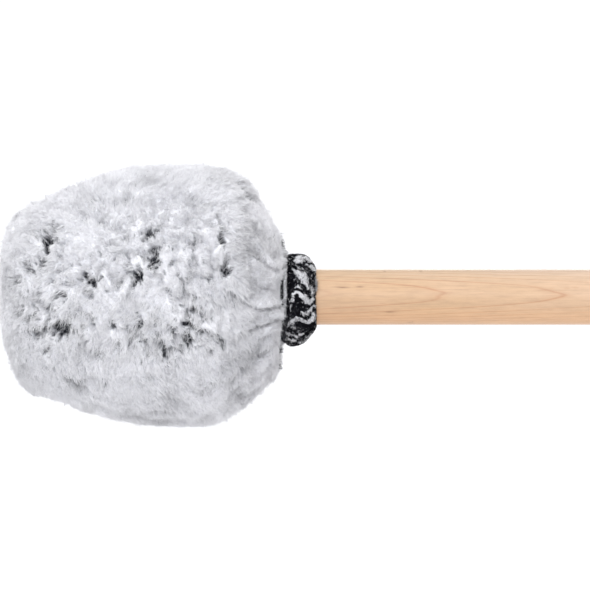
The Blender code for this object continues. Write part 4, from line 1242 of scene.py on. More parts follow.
# White strokes as seen from the camera's side: chains of (column, row, half width) in pixels of the photograph.
STROKES = [
    [(295.5, 261.8, 1.0), (298.0, 260.0, 2.6), (302.0, 259.4, 2.9), (306.0, 259.6, 2.0), (310.5, 262.0, 0.9)],
    [(307.5, 265.0, 0.9), (311.5, 266.8, 1.6), (315.2, 270.8, 1.5)],
    [(293.0, 270.8, 1.0), (297.5, 273.4, 2.4), (303.2, 277.0, 4.0), (305.8, 281.5, 3.4), (307.4, 285.5, 2.0), (308.3, 289.0, 0.9)],
    [(298.0, 267.6, 0.5), (301.0, 268.8, 0.6)], [(303.5, 269.6, 0.5), (306.0, 270.6, 0.6)],
    [(293.6, 295.6, 1.1), (296.0, 293.0, 1.6), (299.5, 292.8, 2.0), (303.6, 296.0, 2.4), (307.2, 301.2, 3.0), (310.6, 302.6, 2.5), (313.8, 299.6, 1.2)],
    [(302.0, 312.4, 0.8), (306.5, 313.6, 1.3), (310.2, 310.8, 1.3), (315.4, 306.0, 1.2)],
    [(287.7, 326.8, 0.9), (290.6, 322.6, 1.3), (296.8, 318.9, 1.7), (302.0, 320.0, 1.6), (308.0, 322.6, 1.8), (312.2, 318.9, 1.7), (314.8, 313.6, 1.2)],
    [(293.8, 323.4, 0.7), (293.6, 327.6, 0.6)],
    [(285.7, 331.9, 0.8), (291.0, 335.0, 1.0), (297.3, 336.2, 1.1), (304.0, 333.6, 0.8)],
    [(286.8, 338.2, 0.9), (291.5, 340.6, 0.8), (296.5, 339.8, 0.7)],
    [(299.5, 343.2, 0.5), (305.5, 340.4, 0.9), (311.5, 334.0, 0.7)],
    [(296.0, 287.0, 0.6), (299.5, 286.5, 0.8), (301.5, 289.0, 0.6)],
    [(289.6, 303.0, 0.7), (292.5, 300.5, 0.8), (294.0, 297.5, 0.7)],
    [(290.5, 306.0, 0.5), (290.8, 311.5, 0.5)],
    [(310.5, 286.0, 0.7), (312.6, 292.5, 0.7), (314.6, 296.5, 0.6)],
]
FOLDS = [
    [(287.5, 277.0, 1.6), (293.0, 283.5, 2.0), (300.0, 288.8, 1.8), (308.0, 293.6, 1.6), (314.8, 297.0, 1.4)],
    [(289.0, 292.0, 1.4), (291.5, 300.0, 1.6), (290.0, 308.0, 1.4)],
    [(296.0, 263.8, 1.2), (303.0, 263.6, 1.6), (311.0, 266.2, 1.2)],
    [(295.5, 313.0, 1.4), (301.0, 316.2, 1.6), (308.0, 317.2, 1.5), (313.6, 311.2, 1.2)],
    [(288.5, 329.5, 1.2), (297.0, 331.0, 1.4), (307.0, 329.0, 1.8), (313.8, 323.0, 1.2)],
]


def collar_pattern(s, r, angle, points):
    """White and fold masks of the collar at stations, radii and angles."""
    front = np.sin(angle) >= 0
    column, row = s / PIXEL + 1.0, MID_ROW - r * np.cos(angle) / PIXEL
    wobble = noise_vector(points, 0.0022, 110) + 0.8 * noise_vector(points, 0.0008, 113)
    fray = noise_vector(points, 0.0005, 116)
    column = np.where(front, column, 603.0 - column) + 1.0 * wobble[:, 0] + 0.9 * fray[:, 0]
    row = np.where(front, row, 600.0 - row) + 1.0 * wobble[:, 1] + 0.9 * fray[:, 1]
    fade = np.where(front, 1.0, smoothstep(-np.sin(angle), 0.03, 0.2))
    white = smoothstep(chain_field(column, row, STROKES), -1.0, 1.05) * fade
    fold = smoothstep(chain_field(column, row, FOLDS), -1.2, 0.8) * fade
    return white, fold


def collar_surface(v, angle):
    """Points of the collar's outer surface before its lumps, with normals; v from the front edge to the rear one."""
    x = v * (BAND_ROWS - 1)
    i = np.clip(x.astype(int), 0, BAND_ROWS - 2)
    f = (x - i)[..., None]
    low = (0.5 - 0.5 * np.cos(angle))[..., None]
    top_point = outer_top[i] * (1 - f) + outer_top[i + 1] * f
    low_point = outer_low[i] * (1 - f) + outer_low[i + 1] * f
    a = top_point * (1 - low) + low_point * low
    k, m = np.clip(i - 3, 0, BAND_ROWS - 1), np.clip(i + 4, 0, BAND_ROWS - 1)
    slope = unit((outer_top[m] - outer_top[k]) * (1 - low) + (outer_low[m] - outer_low[k]) * low)
    radial, around = around_frame(angle)
    normal = slope[..., :1] * radial - slope[..., 1:] * np.array([1.0, 0, 0])
    return a, ring_points(a[..., 0], a[..., 1], angle), normal, around, slope


def collar_relief(v, angle, points, white, fold):
    ends = smoothstep(v, 0.0, 0.08) * (1 - smoothstep(v, 0.93, 1.0))
    h = 0.42 * white - 0.75 * fold + 0.42 * noise3(points, 0.0034, 120) + 0.20 * noise3(points, 0.0013, 121) - 0.35
    return h * ends


grid_v, grid_a = np.meshgrid(np.linspace(0, 1, BAND_ROWS), np.arange(BAND_COLUMNS) * 2 * math.pi / BAND_COLUMNS, indexing="ij")
flat_v, flat_a = grid_v.ravel(), grid_a.ravel()
a, points, normal, around, slope = collar_surface(flat_v, flat_a)
white, fold = collar_pattern(a[:, 0], a[:, 1], flat_a, points)
points = points + normal * (collar_relief(flat_v, flat_a, points, white, fold) * MM)[:, None]
rows = [points]
for s, r in COLLAR_IN:
    rows.append(ring_points(s, r, grid_a[0]))
points = np.vstack(rows)
rows_total = BAND_ROWS + len(COLLAR_IN)
faces = grid_faces(rows_total, BAND_COLUMNS)
j = np.arange(BAND_COLUMNS)
last = (rows_total - 1) * BAND_COLUMNS
faces = np.vstack([faces, np.stack([last + j, last + (j + 1) % BAND_COLUMNS, (j + 1) % BAND_COLUMNS, j], axis=1)])
if not outward(points, faces):
    faces = faces[:, ::-1]
i, j = np.meshgrid(np.arange(rows_total), np.arange(BAND_COLUMNS), indexing="ij")
u = np.stack([j / BAND_COLUMNS, (j + 1) / BAND_COLUMNS, (j + 1) / BAND_COLUMNS, j / BAND_COLUMNS], axis=-1).reshape(-1, 4)
w = np.stack([i, i, i + 1, i + 1], axis=-1).reshape(-1, 4) / rows_total
if not np.array_equal(faces[0], [0, 1, BAND_COLUMNS + 1, BAND_COLUMNS]):
    u, w = u[:, ::-1], w[:, ::-1]
uv = np.stack([0.005 + 0.99 * u, 0.005 + 0.99 * w], axis=-1)


def collar_material():
    made, tree, shader = new_material("marled_plush")
    place = node(tree, "ShaderNodeTexCoord").outputs["Object"]
    white = node(tree, "ShaderNodeAttribute", attribute_name="white").outputs["Fac"]
    grain = node(tree, "ShaderNodeTexNoise", in_Scale=1300.0, in_Detail=3.0, in_Roughness=0.65)
    tree.links.new(place, grain.inputs["Vector"])
    edge = math_node(tree, "MULTIPLY_ADD", grain.outputs["Fac"], 1.1)
    edge.node.inputs[2].default_value = -0.55
    mask = ramp(tree, math_node(tree, "ADD", white, edge), [(0.36, grey(0.0)), (0.74, grey(1.0))])
    black = ramp(tree, grain.outputs["Fac"], [(0.4, (0.003, 0.003, 0.005)), (0.64, (0.010, 0.010, 0.014)), (0.80, (0.16, 0.16, 0.175))])
    pale = ramp(tree, grain.outputs["Fac"], [(0.3, grey(0.34, 1.03)), (0.55, grey(0.78, 1.02))])
    tree.links.new(mix_colour(tree, mask, black, pale), shader.inputs["Base Color"])
    shader.inputs["Roughness"].default_value = 0.95
    shader.inputs["Specular IOR Level"].default_value = 0.12
    return made


collar = mesh_of("collar_plush", points, faces, collar_material(), uv=uv)
give(collar, "white", np.concatenate([white, np.zeros(BAND_COLUMNS * len(COLLAR_IN))]))
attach(collar, "root")
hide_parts("collar_band")

plush_rng = np.random.default_rng(47)
count = 44000
v = plush_rng.uniform(0.02, 0.99, count)
angle = plush_rng.random(count) * 2 * math.pi
a, root, normal, around, slope = collar_surface(v, angle)
white, fold = collar_pattern(a[:, 0], a[:, 1], angle, root)
relief = collar_relief(v, angle, root, white, fold)
root = root + normal * ((relief - 0.25) * MM)[:, None]
meridian = slope[:, :1] * np.array([1.0, 0, 0]) + slope[:, 1:] * around_frame(angle)[0]
lean = 1.1 * noise_vector(root, 0.0045, 130) + 0.45 * noise_vector(root, 0.0016, 133) + 0.25 * plush_rng.normal(size=(count, 3))
lean -= normal * (lean * normal).sum(1, keepdims=True)
reach = plush_rng.uniform(0.75, 1.25, count) * np.where(fold > 0.5, 0.8, 1.0)
steps = np.array([0.0, 0.5, 1.0])
path = root[:, None] + (
    normal[:, None] * (1 - (1 - steps) ** 1.5)[:, None] * 0.72 + lean[:, None] * (steps**1.4)[:, None] * 0.95
) * (reach * MM)[:, None, None]
marl = noise3(root, 0.0011, 140) + 0.5 * noise3(root, 0.0030, 141)
yarn = noise3(root, 0.0009, 142) + 0.7 * noise3(root, 0.0021, 143)  # twists of lighter and greyer yarn
is_white = white * (1.08 + 0.4 * yarn) + 0.30 * marl > plush_rng.uniform(0.34, 1.02, count)
pale = np.clip(0.79 + 0.20 * yarn + 0.14 * plush_rng.normal(size=count), 0.34, 1.0)
black = np.clip(0.022 + 0.045 * plush_rng.normal(size=count), 0.0, 0.20)
flecked = 0.015 + 0.095 * smoothstep(noise3(root, 0.0016, 145) + 0.5 * noise3(root, 0.0050, 146), -0.2, 0.7)
black = np.where(plush_rng.random(count) < flecked, plush_rng.uniform(0.22, 0.52, count), black)
tone = np.where(is_white, pale, black)
flip = plush_rng.random(count)
pepper = smoothstep(noise3(root, 0.00055, 149) + 0.45 * noise3(root, 0.0024, 150), 0.40, 0.72)
tone = np.where(is_white & (flip < 0.05 + 0.45 * pepper + 0.14 * smoothstep(-yarn, 0.0, 0.8)), plush_rng.uniform(0.05, 0.35, count), tone)
salt = smoothstep(noise3(root, 0.00055, 147) + 0.45 * noise3(root, 0.0024, 148), 0.42, 0.72)
speck = 0.008 + 0.62 * salt + 0.06 * smoothstep(marl, 0.30, 0.8) + 0.14 * (1 - smoothstep(np.abs(white - 0.25), 0.0, 0.25))
tone = np.where(~is_white & (flip < speck), plush_rng.uniform(0.36, 0.85, count), tone)
plush = fibres(
    "collar_pile", path, 0.078 * MM * plush_rng.uniform(0.7, 1.2, count), tone, PLUSH, plush_rng,
    per_piece=18000,
)

# A little grey tuft that stands off the collar's rear edge over the handle, and a few like it round the rest.
tuft_rng = np.random.default_rng(53)
roots, leans, tones = [], [], []
for degrees, s_at, amount, long in ((66.5, 143.5, 170, 1.9), (205, 143.6, 60, 1.3), (262, 143.4, 90, 1.6), (322, 143.5, 70, 1.4), (142, 143.6, 40, 1.0)):
    angle = np.radians(degrees + tuft_rng.normal(size=amount) * 6.5)
    roots.append(ring_points(s_at + 0.2 * tuft_rng.normal(size=amount), 13.6 + 0.4 * tuft_rng.random(amount), angle))
    radial, around = around_frame(angle)
    leans.append(
        long * (
            np.array([1.0, 0, 0]) * tuft_rng.uniform(0.55, 1.05, amount)[:, None]
            + radial * tuft_rng.uniform(0.1, 0.6, amount)[:, None]
            + around * (0.45 * tuft_rng.normal(size=amount))[:, None]
        )
    )
    tones.append(np.clip(0.40 + 0.14 * tuft_rng.normal(size=amount), 0.05, 0.8))
root, lean, tone = np.vstack(roots), np.vstack(leans), np.concatenate(tones)
path = root[:, None] + lean[:, None] * steps[:, None] * MM
path[:, 2] += 0.25 * MM * tuft_rng.normal(size=(len(path), 3))
tuft = fibres("collar_tuft", path, np.full(len(root), 0.075 * MM), tone, PLUSH, tuft_rng)

# ================================================================ the maple handle
def maple_material():
    """Growth rings about a pith behind the camera's side, tilted so that they end in a V on it, as plain-sawn maple does."""
    made, tree, shader = new_material("maple")
    place = node(tree, "ShaderNodeTexCoord").outputs["Object"]
    split = node(tree, "ShaderNodeSeparateXYZ")
    tree.links.new(place, split.inputs[0])
    x, y, z = (split.outputs[k] for k in "XYZ")
    long = node(tree, "ShaderNodeMapping")
    long.inputs["Scale"].default_value = (0.045, 1.0, 1.0)
    tree.links.new(place, long.inputs["Vector"])
    sweep = node(tree, "ShaderNodeTexNoise", in_Scale=170.0, in_Detail=2.0, in_Roughness=0.45)
    tree.links.new(long.outputs["Vector"], sweep.inputs["Vector"])

    def scaled(value, factor, offset=0.0):
        out = math_node(tree, "MULTIPLY_ADD", value, factor)
        out.node.inputs[2].default_value = offset
        return out

    # All in millimetres.
    dy = scaled(y, 1000.0, -25.0)
    dz = scaled(z, 1000.0, -(60.0 - 2.6))
    ring = math_node(tree, "SQRT", math_node(tree, "ADD", math_node(tree, "MULTIPLY", dy, dy), math_node(tree, "MULTIPLY", dz, dz)))
    ring = math_node(tree, "ADD", ring, scaled(x, -22.2))
    ring = math_node(tree, "ADD", ring, scaled(sweep.outputs["Fac"], 0.62, -0.31))
    apex = 37.82 - 22.2 * (X_FRONT + 0.208)
    turns = scaled(ring, 1 / 1.12, -apex / 1.12 + 50.0 - 0.035)
    phase = math_node(tree, "FRACT", turns)
    line = ramp(
        tree, phase, [(0.0, grey(0.50)), (0.03, grey(1.0)), (0.075, grey(0.32)), (0.22, grey(0.04)), (0.92, grey(0.02)), (1.0, grey(0.38))]
    )
    fade = node(tree, "ShaderNodeTexNoise", in_Scale=70.0, in_Detail=1.0)
    stretch = node(tree, "ShaderNodeMapping")
    stretch.inputs["Scale"].default_value = (0.25, 1.0, 1.0)
    tree.links.new(place, stretch.inputs["Vector"])
    tree.links.new(stretch.outputs["Vector"], fade.inputs["Vector"])
    line = math_node(tree, "MULTIPLY", line, ramp(tree, fade.outputs["Fac"], [(0.34, grey(0.32)), (0.58, grey(1.0))]))
    # The wood is plain in the middle next to the collar.
    ex = scaled(x, 1000.0 / 11.0, -(X_FRONT * 1000 + station(322)) / 11.0)
    ez = scaled(z, 1000.0 / 5.0, -(60.0 + height(296)) / 5.0)
    plain = math_node(tree, "ADD", math_node(tree, "MULTIPLY", ex, ex), math_node(tree, "MULTIPLY", ez, ez))
    plain = math_node(tree, "EXPONENT", math_node(tree, "MULTIPLY", plain, -1.0))
    line = math_node(tree, "MULTIPLY", line, scaled(plain, -0.85, 1.0))

    broad = node(tree, "ShaderNodeTexNoise", in_Scale=38.0, in_Detail=2.0)
    tree.links.new(stretch.outputs["Vector"], broad.inputs["Vector"])
    base = ramp(
        tree,
        broad.outputs["Fac"],
        [(0.30, (0.515, 0.329, 0.188)), (0.48, (0.554, 0.368, 0.225)), (0.62, (0.563, 0.378, 0.247)), (0.75, (0.552, 0.377, 0.222))],
    )
    end = ramp(tree, scaled(x, 4.2, 0.25), [(0.0, (0.935, 0.905, 0.850)), (0.5, (0.985, 0.985, 0.975)), (1.0, (1.0, 1.02, 1.06))])
    base = mix_colour(tree, 1.0, base, end, "MULTIPLY")
    colour = mix_colour(tree, math_node(tree, "MULTIPLY", line, 1.0), base, (0.400, 0.196, 0.096))

    # Fine fibres and the short rays and pores between them.
    fine = node(tree, "ShaderNodeMapping")
    fine.inputs["Scale"].default_value = (0.03, 1.0, 1.0)
    tree.links.new(place, fine.inputs["Vector"])
    streak = node(tree, "ShaderNodeTexNoise", in_Scale=1500.0, in_Detail=3.0, in_Roughness=0.6)
    tree.links.new(fine.outputs["Vector"], streak.inputs["Vector"])
    colour = mix_colour(
        tree, 1.0, colour, ramp(tree, streak.outputs["Fac"], [(0.3, grey(0.915)), (0.5, grey(1.0)), (0.7, grey(1.05))]), "MULTIPLY"
    )
    dapple = node(tree, "ShaderNodeMapping")
    dapple.inputs["Scale"].default_value = (0.20, 1.0, 1.0)
    tree.links.new(place, dapple.inputs["Vector"])
    flame = node(tree, "ShaderNodeTexNoise", in_Scale=620.0, in_Detail=3.0, in_Roughness=0.65)
    tree.links.new(dapple.outputs["Vector"], flame.inputs["Vector"])
    colour = mix_colour(
        tree, 1.0, colour, ramp(tree, flame.outputs["Fac"], [(0.32, grey(0.93)), (0.5, grey(1.0)), (0.68, grey(1.045))]), "MULTIPLY"
    )
    # Painted highlight and bounce light: the wood is paler and bluer along the top, as a sheen on the varnish, and
    # warmer and brighter along the bottom, as warm light bounced from below, set by height.
    painted_sheen_and_bounce = ramp(
        tree,
        scaled(z, 40.0, -1.9),
        [(0.0, (1.170, 1.085, 0.995)), (0.14, (1.135, 1.065, 1.0)), (0.36, (1.0, 1.0, 1.0)), (0.72, (1.0, 1.0, 1.0)), (0.93, (1.0, 1.075, 1.17)), (1.0, (1.0, 1.08, 1.18))],
    )
    colour = mix_colour(tree, 1.0, colour, painted_sheen_and_bounce, "MULTIPLY")
    short = node(tree, "ShaderNodeMapping")
    short.inputs["Scale"].default_value = (0.16, 1.0, 1.0)
    tree.links.new(place, short.inputs["Vector"])
    pores = node(tree, "ShaderNodeTexVoronoi", in_Scale=900.0, in_Randomness=1.0)
    tree.links.new(short.outputs["Vector"], pores.inputs["Vector"])
    pick = node(tree, "ShaderNodeTexNoise", in_Scale=260.0, in_Detail=1.0)
    tree.links.new(short.outputs["Vector"], pick.inputs["Vector"])
    pore = math_node(
        tree,
        "MULTIPLY",
        ramp(tree, pores.outputs["Distance"], [(0.0, grey(1.0)), (0.16, grey(0.9)), (0.30, grey(0.0))]),
        ramp(tree, pick.outputs["Fac"], [(0.54, grey(0.0)), (0.64, grey(1.0))]),
    )
    colour = mix_colour(tree, math_node(tree, "MULTIPLY", pore, 0.40), colour, (0.46, 0.255, 0.14))

    # The few dark flecks of this stick: station, height, half length, half width in millimetres, how dark.
    flecks = None
    seen = [
        (station(342.5), height(287.9), 2.6, 0.30, 0.85), (station(338), height(287.3), 2.2, 0.22, 0.4), (station(359.8), height(287.4), 1.7, 0.27, 0.9),
        (station(389.5), height(312.4), 2.6, 0.26, 0.9), (station(384), height(312.6), 3.0, 0.2, 0.35), (station(385), height(271.9), 0.7, 0.30, 0.6),
        (station(421), height(271.9), 0.8, 0.30, 0.6), (station(404), height(286.0), 3.0, 0.2, 0.25), (station(410), height(323.0), 1.0, 0.2, 0.45),
        (station(412.5), height(322.5), 0.4, 0.3, 0.45), (station(559), height(307.5), 3.4, 0.16, 0.3),
    ]
    behind = [(232.0, 6.0, 2.4, 0.24, 0.7), (301.0, -4.0, 3.0, 0.22, 0.6), (338.0, 2.5, 2.0, 0.25, 0.8), (190.0, -7.5, 2.2, 0.22, 0.5), (266.0, -1.0, 1.6, 0.2, 0.5)]
    for side, marks in ((-1.0, seen), (1.0, behind)):
        total = None
        for s, h, half, width, weight in marks:
            ex = scaled(x, 1000.0 / half, -(X_FRONT * 1000 + s) / half)
            ez = scaled(z, 1000.0 / width, -(60.0 + h) / width)
            e = math_node(tree, "ADD", math_node(tree, "MULTIPLY", ex, ex), math_node(tree, "MULTIPLY", ez, ez))
            g = math_node(tree, "MULTIPLY", math_node(tree, "EXPONENT", math_node(tree, "MULTIPLY", e, -1.0)), weight)
            total = g if total is None else math_node(tree, "MAXIMUM", total, g)
        where = math_node(tree, "GREATER_THAN", math_node(tree, "MULTIPLY", y, side), 0.0)
        total = math_node(tree, "MULTIPLY", total, where)
        flecks = total if flecks is None else math_node(tree, "MAXIMUM", flecks, total)
    colour = mix_colour(tree, flecks, colour, (0.230, 0.125, 0.065))
    tree.links.new(colour, shader.inputs["Base Color"])
    rough = ramp(tree, streak.outputs["Fac"], [(0.3, grey(0.46)), (0.7, grey(0.36))])
    tree.links.new(rough, shader.inputs["Roughness"])
    shader.inputs["Specular IOR Level"].default_value = 0.42
    shader.inputs["Coat Weight"].default_value = 0.16
    shader.inputs["Coat Roughness"].default_value = 0.28
    relief = math_node(tree, "SUBTRACT", math_node(tree, "MULTIPLY", streak.outputs["Fac"], 0.5), math_node(tree, "MULTIPLY", pore, 0.6))
    bump = node(tree, "ShaderNodeBump", in_Strength=0.12, in_Distance=0.0002)
    tree.links.new(relief, bump.inputs["Height"])
    tree.links.new(bump.outputs["Normal"], shader.inputs["Normal"])
    return made


MAPLE = maple_material()
WOOD_SIDES = 96
R = 12.7
butt = [(381.0 - 4 + 4 * math.sin(b), R - 4 + 4 * math.cos(b)) for b in np.linspace(0, math.pi / 2, 12)]
profile = [(54.6, 0.0), (54.3, 0.4), (54.3, 6.0), (54.3, 11.9), (54.5, 12.5), (55.1, R)] + [
    (s, R) for s in np.linspace(57, 376, 160)
] + butt + [(381.0, 4.0), (381.0, 0.4), (381.0, 0.0)]
profile = [p for k, p in enumerate(profile) if k == 0 or math.hypot(p[0] - profile[k - 1][0], p[1] - profile[k - 1][1]) > 0.05]
inner = profile[1:-1]
a = np.arange(WOOD_SIDES) * 2 * math.pi / WOOD_SIDES + math.radians(270)
points = np.vstack([ring_points(s, r, a) for s, r in inner] + [ring_points(profile[0][0], 0.0, 0.0)[None], ring_points(381.0, 0.0, 0.0)[None]])
rows_total = len(inner)
quads = grid_faces(rows_total, WOOD_SIDES)
lengths = np.concatenate([[0], np.cumsum([math.hypot(q[0] - p[0], q[1] - p[1]) for p, q in zip(inner[:-1], inner[1:])])])
along = 0.006 + 0.988 * lengths / lengths[-1]
i, j = np.meshgrid(np.arange(rows_total - 1), np.arange(WOOD_SIDES), indexing="ij")
qu = np.stack([along[i], along[i], along[i + 1], along[i + 1]], axis=-1).reshape(-1, 4)
qv = 0.006 + 0.988 * np.stack([j, j + 1, j + 1, j], axis=-1).reshape(-1, 4) / WOOD_SIDES
quad_uv = np.stack([qu, qv], axis=-1)
tri = np.concatenate([quads[:, [0, 1, 2]], quads[:, [0, 2, 3]]])
tri_uv = np.concatenate([quad_uv[:, [0, 1, 2]], quad_uv[:, [0, 2, 3]]])
j = np.arange(WOOD_SIDES)
first, final = rows_total * WOOD_SIDES, rows_total * WOOD_SIDES + 1
front_cap = np.stack([(j + 1) % WOOD_SIDES, j, np.full(WOOD_SIDES, first)], axis=1)
last = (rows_total - 1) * WOOD_SIDES
rear_cap = np.stack([last + j, last + (j + 1) % WOOD_SIDES, np.full(WOOD_SIDES, final)], axis=1)
v0, v1 = 0.006 + 0.988 * j / WOOD_SIDES, 0.006 + 0.988 * (j + 1) / WOOD_SIDES
front_uv = np.stack([np.stack([np.full(WOOD_SIDES, 0.006), v1], -1), np.stack([np.full(WOOD_SIDES, 0.006), v0], -1), np.stack([np.full(WOOD_SIDES, 0.002), (v0 + v1) / 2], -1)], axis=1)
rear_uv = np.stack([np.stack([np.full(WOOD_SIDES, 0.994), v0], -1), np.stack([np.full(WOOD_SIDES, 0.994), v1], -1), np.stack([np.full(WOOD_SIDES, 0.998), (v0 + v1) / 2], -1)], axis=1)
tri = np.vstack([tri, front_cap, rear_cap])
tri_uv = np.concatenate([tri_uv, front_uv, rear_uv])
if not outward(points, tri):
    tri, tri_uv = tri[:, ::-1], tri_uv[:, ::-1]
handle = mesh_of("handle_wood", points, tri, MAPLE, uv=tri_uv)
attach(handle, "root")
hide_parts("handle")

# ================================================================ the pieces inside, seen when it is taken apart
def inner_material(name, scale, stops, roughness, bump_depth, stretch=(1.0, 1.0, 1.0), metallic=0.0, pattern="noise", specular=0.3):
    """A material of three layers: a patterned colour, finer grain over it, and relief and roughness from both."""
    made, tree, shader = new_material(name)
    place = node(tree, "ShaderNodeTexCoord").outputs["Object"]
    mapping = node(tree, "ShaderNodeMapping")
    mapping.inputs["Scale"].default_value = stretch
    tree.links.new(place, mapping.inputs["Vector"])
    if pattern == "cells":
        broad = node(tree, "ShaderNodeTexVoronoi", in_Scale=scale)
        out = broad.outputs["Distance"]
    elif pattern == "rings":
        broad = node(tree, "ShaderNodeTexWave", in_Scale=scale, in_Distortion=2.2, in_Detail=2.0)
        broad.wave_type = "RINGS"
        broad.rings_direction = "X"
        out = broad.outputs["Fac"]
    elif pattern == "knit":
        broad = node(tree, "ShaderNodeTexWave", in_Scale=scale, in_Distortion=0.6)
        broad.bands_direction = "X"
        second = node(tree, "ShaderNodeTexWave", in_Scale=scale, in_Distortion=0.6)
        second.bands_direction = "Z"
        tree.links.new(mapping.outputs["Vector"], second.inputs["Vector"])
        out = math_node(tree, "MULTIPLY", broad.outputs["Fac"], second.outputs["Fac"])
    else:
        broad = node(tree, "ShaderNodeTexNoise", in_Scale=scale, in_Detail=3.0, in_Roughness=0.6)
        out = broad.outputs["Fac"]
    tree.links.new(mapping.outputs["Vector"], broad.inputs["Vector"])
    grain = node(tree, "ShaderNodeTexNoise", in_Scale=scale * 4.0, in_Detail=2.0)
    tree.links.new(mapping.outputs["Vector"], grain.inputs["Vector"])
    colour = ramp(tree, out, stops)
    colour = mix_colour(tree, 1.0, colour, ramp(tree, grain.outputs["Fac"], [(0.3, grey(0.86)), (0.7, grey(1.06))]), "MULTIPLY")
    tree.links.new(colour, shader.inputs["Base Color"])
    low, high = roughness
    tree.links.new(ramp(tree, grain.outputs["Fac"], [(0.3, grey(low)), (0.7, grey(high))]), shader.inputs["Roughness"])
    shader.inputs["Metallic"].default_value = metallic
    shader.inputs["Specular IOR Level"].default_value = specular
    bump = node(tree, "ShaderNodeBump", in_Strength=0.5, in_Distance=bump_depth)
    tree.links.new(math_node(tree, "ADD", out, math_node(tree, "MULTIPLY", grain.outputs["Fac"], 0.4)), bump.inputs["Height"])
    tree.links.new(bump.outputs["Normal"], shader.inputs["Normal"])
    return made


INNER = {
    inner_material("core_wood", 260.0, [(0.2, (0.62, 0.43, 0.27)), (0.8, (0.70, 0.50, 0.33))], (0.5, 0.62), 0.00015, pattern="rings"): ("core_hub", "cross_pin"),
    inner_material("weight_steel", 420.0, [(0.3, (0.36, 0.365, 0.375)), (0.7, (0.50, 0.505, 0.515))], (0.32, 0.48), 0.00006, (1.0, 1.0, 0.15), 1.0, specular=0.5): ("front_weight", "rear_weight"),
    inner_material("zinc_steel", 900.0, [(0.3, (0.60, 0.61, 0.62)), (0.7, (0.74, 0.745, 0.75))], (0.24, 0.40), 0.00004, (0.2, 1.0, 1.0), 1.0, specular=0.5): ("lag_screw", "screw_washer", "weight_screw_1", "weight_screw_2", "weight_screw_3"),
    inner_material("grey_felt", 1100.0, [(0.3, (0.20, 0.20, 0.205)), (0.7, (0.36, 0.36, 0.365))], (0.92, 1.0), 0.0003, specular=0.1): ("core_felt", "front_felt", "rear_felt"),
    inner_material("soft_foam", 700.0, [(0.0, (0.52, 0.50, 0.42)), (0.5, (0.82, 0.79, 0.68))], (0.85, 0.95), 0.0005, pattern="cells", specular=0.15): ("foam_jacket", "front_foam", "rear_foam"),
    inner_material("batting_fibre", 500.0, [(0.3, (0.78, 0.78, 0.77)), (0.7, (0.93, 0.93, 0.92))], (0.95, 1.0), 0.0006, (0.4, 1.0, 1.0), specular=0.1): ("batting",),
    inner_material("lining_knit", 380.0, [(0.0, (0.60, 0.60, 0.59)), (0.6, (0.88, 0.88, 0.87))], (0.85, 0.95), 0.0003, pattern="knit", specular=0.15): ("lining_sock",),
    inner_material("waxed_twine", 1400.0, [(0.2, (0.36, 0.28, 0.17)), (0.8, (0.62, 0.51, 0.34))], (0.5, 0.7), 0.0002, (1.0, 0.4, 1.0), specular=0.3): ("lining_twine",),
}
for material, names in INNER.items():
    for name in names:
        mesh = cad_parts[name].data
        if mesh.materials:
            for slot_number in range(len(mesh.materials)):
                mesh.materials[slot_number] = material
        else:
            mesh.materials.append(material)

# ================================================================ stage, light and camera
def soft_light(name, location, target, size, power, colour=(1.0, 1.0, 1.0)):
    data = bpy.data.lights.new(name, "AREA")
    data.shape = "RECTANGLE"
    data.size, data.size_y = size
    data.energy = power
    data.color = colour
    obj = bpy.data.objects.new(name, data)
    obj.location = location
    obj.rotation_euler = (Vector(target) - Vector(location)).to_track_quat("-Z", "Y").to_euler()
    bpy.context.scene.collection.objects.link(obj)
    return obj


def stage_material(strength):
    made, tree, shader = new_material("white_paper")
    shader.inputs["Base Color"].default_value = (0.12, 0.12, 0.12, 1)
    shader.inputs["Roughness"].default_value = 1.0
    shader.inputs["Specular IOR Level"].default_value = 0.0
    shader.inputs["Emission Color"].default_value = (0.97, 0.975, 1.0, 1)
    shader.inputs["Emission Strength"].default_value = strength
    return made


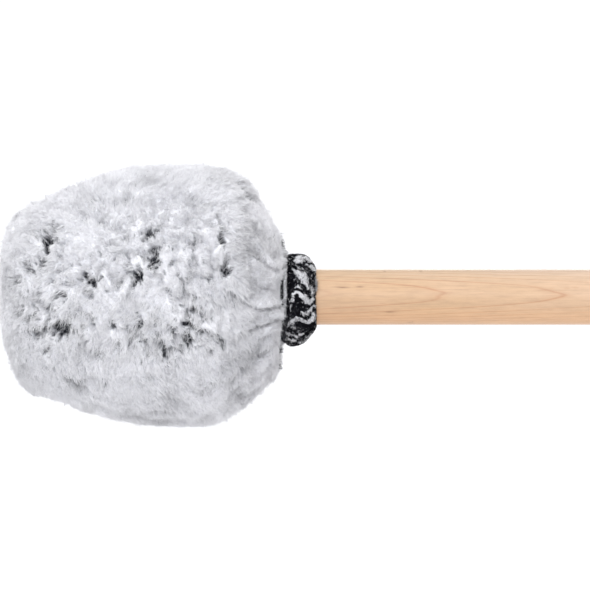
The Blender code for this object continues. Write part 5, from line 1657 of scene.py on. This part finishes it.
# A round sweep of pale paper, so that the object stands before it from every side.
curve = [(0.35, 0.0), (1.2, 0.0), (2.4, 0.0), (3.2, 0.0)] + [
    (3.2 + 0.7 * math.sin(a), 0.7 - 0.7 * math.cos(a)) for a in np.linspace(0.12, math.pi / 2, 12)
] + [(3.9, 1.4)]
turn = np.arange(72) * 2 * math.pi / 72
stage_points = np.array([(0.0, 0.0, 0.0)] + [(r * math.cos(a), r * math.sin(a), z) for r, z in curve for a in turn])
stage_quads = grid_faces(len(curve), 72) + 1
j = np.arange(72)
stage_centre = np.stack([np.zeros(72, int), 1 + (j + 1) % 72, 1 + j], axis=1)
stage_faces = np.vstack([stage_centre[:, ::-1], np.concatenate([stage_quads[:, [0, 2, 1]], stage_quads[:, [0, 3, 2]]])])
paper = mesh_of("stage_paper", stage_points, stage_faces, stage_material(1.0))

world = bpy.data.worlds.new("studio")
bpy.context.scene.world = world
world.use_nodes = True
background = world.node_tree.nodes["Background"]
background.inputs["Color"].default_value = (0.97, 0.98, 1.0, 1.0)
background.inputs["Strength"].default_value = 0.75

centre = (-0.12, 0.0, 0.06)
soft_light("key", (-0.50, -1.50, 1.75), centre, (2.2, 2.2), 28.5)
soft_light("overhead", (0.0, 0.35, 2.1), (0.0, 0.0, 0.06), (2.6, 1.4), 10.0)
soft_light("rear", (0.35, 2.35, 0.75), (-0.05, 0.0, 0.06), (2.4, 1.1), 19.0)
soft_light("front", (-0.45, -2.50, 0.62), (-0.05, 0.0, 0.06), (2.0, 0.7), 18.3, (0.895, 0.92, 1.0))

bpy.context.scene.cycles.diffuse_bounces = 24  # white pile passes light on many times
bpy.context.scene.cycles.max_bounces = 24
bpy.context.scene.view_settings.view_transform = "Standard"
bpy.context.scene.view_settings.look = "None"

camera_data = bpy.data.cameras.new("photo_camera")
camera = bpy.data.objects.new("photo_camera", camera_data)
bpy.context.scene.collection.objects.link(camera)
FAR = 1.9
frame_width = 590 * PIXEL * MM
camera_data.sensor_fit = "HORIZONTAL"
camera_data.sensor_width = 36.0
camera_data.lens = 36.0 * FAR / frame_width
camera_data.clip_start = 0.05
camera_data.clip_end = 30
camera.location = (X_FRONT + station(295.5) * MM, -FAR, AXIS_Z + height(296.0) * MM)
camera.rotation_euler = (math.pi / 2, 0.0, 0.0)
bpy.context.scene.camera = camera
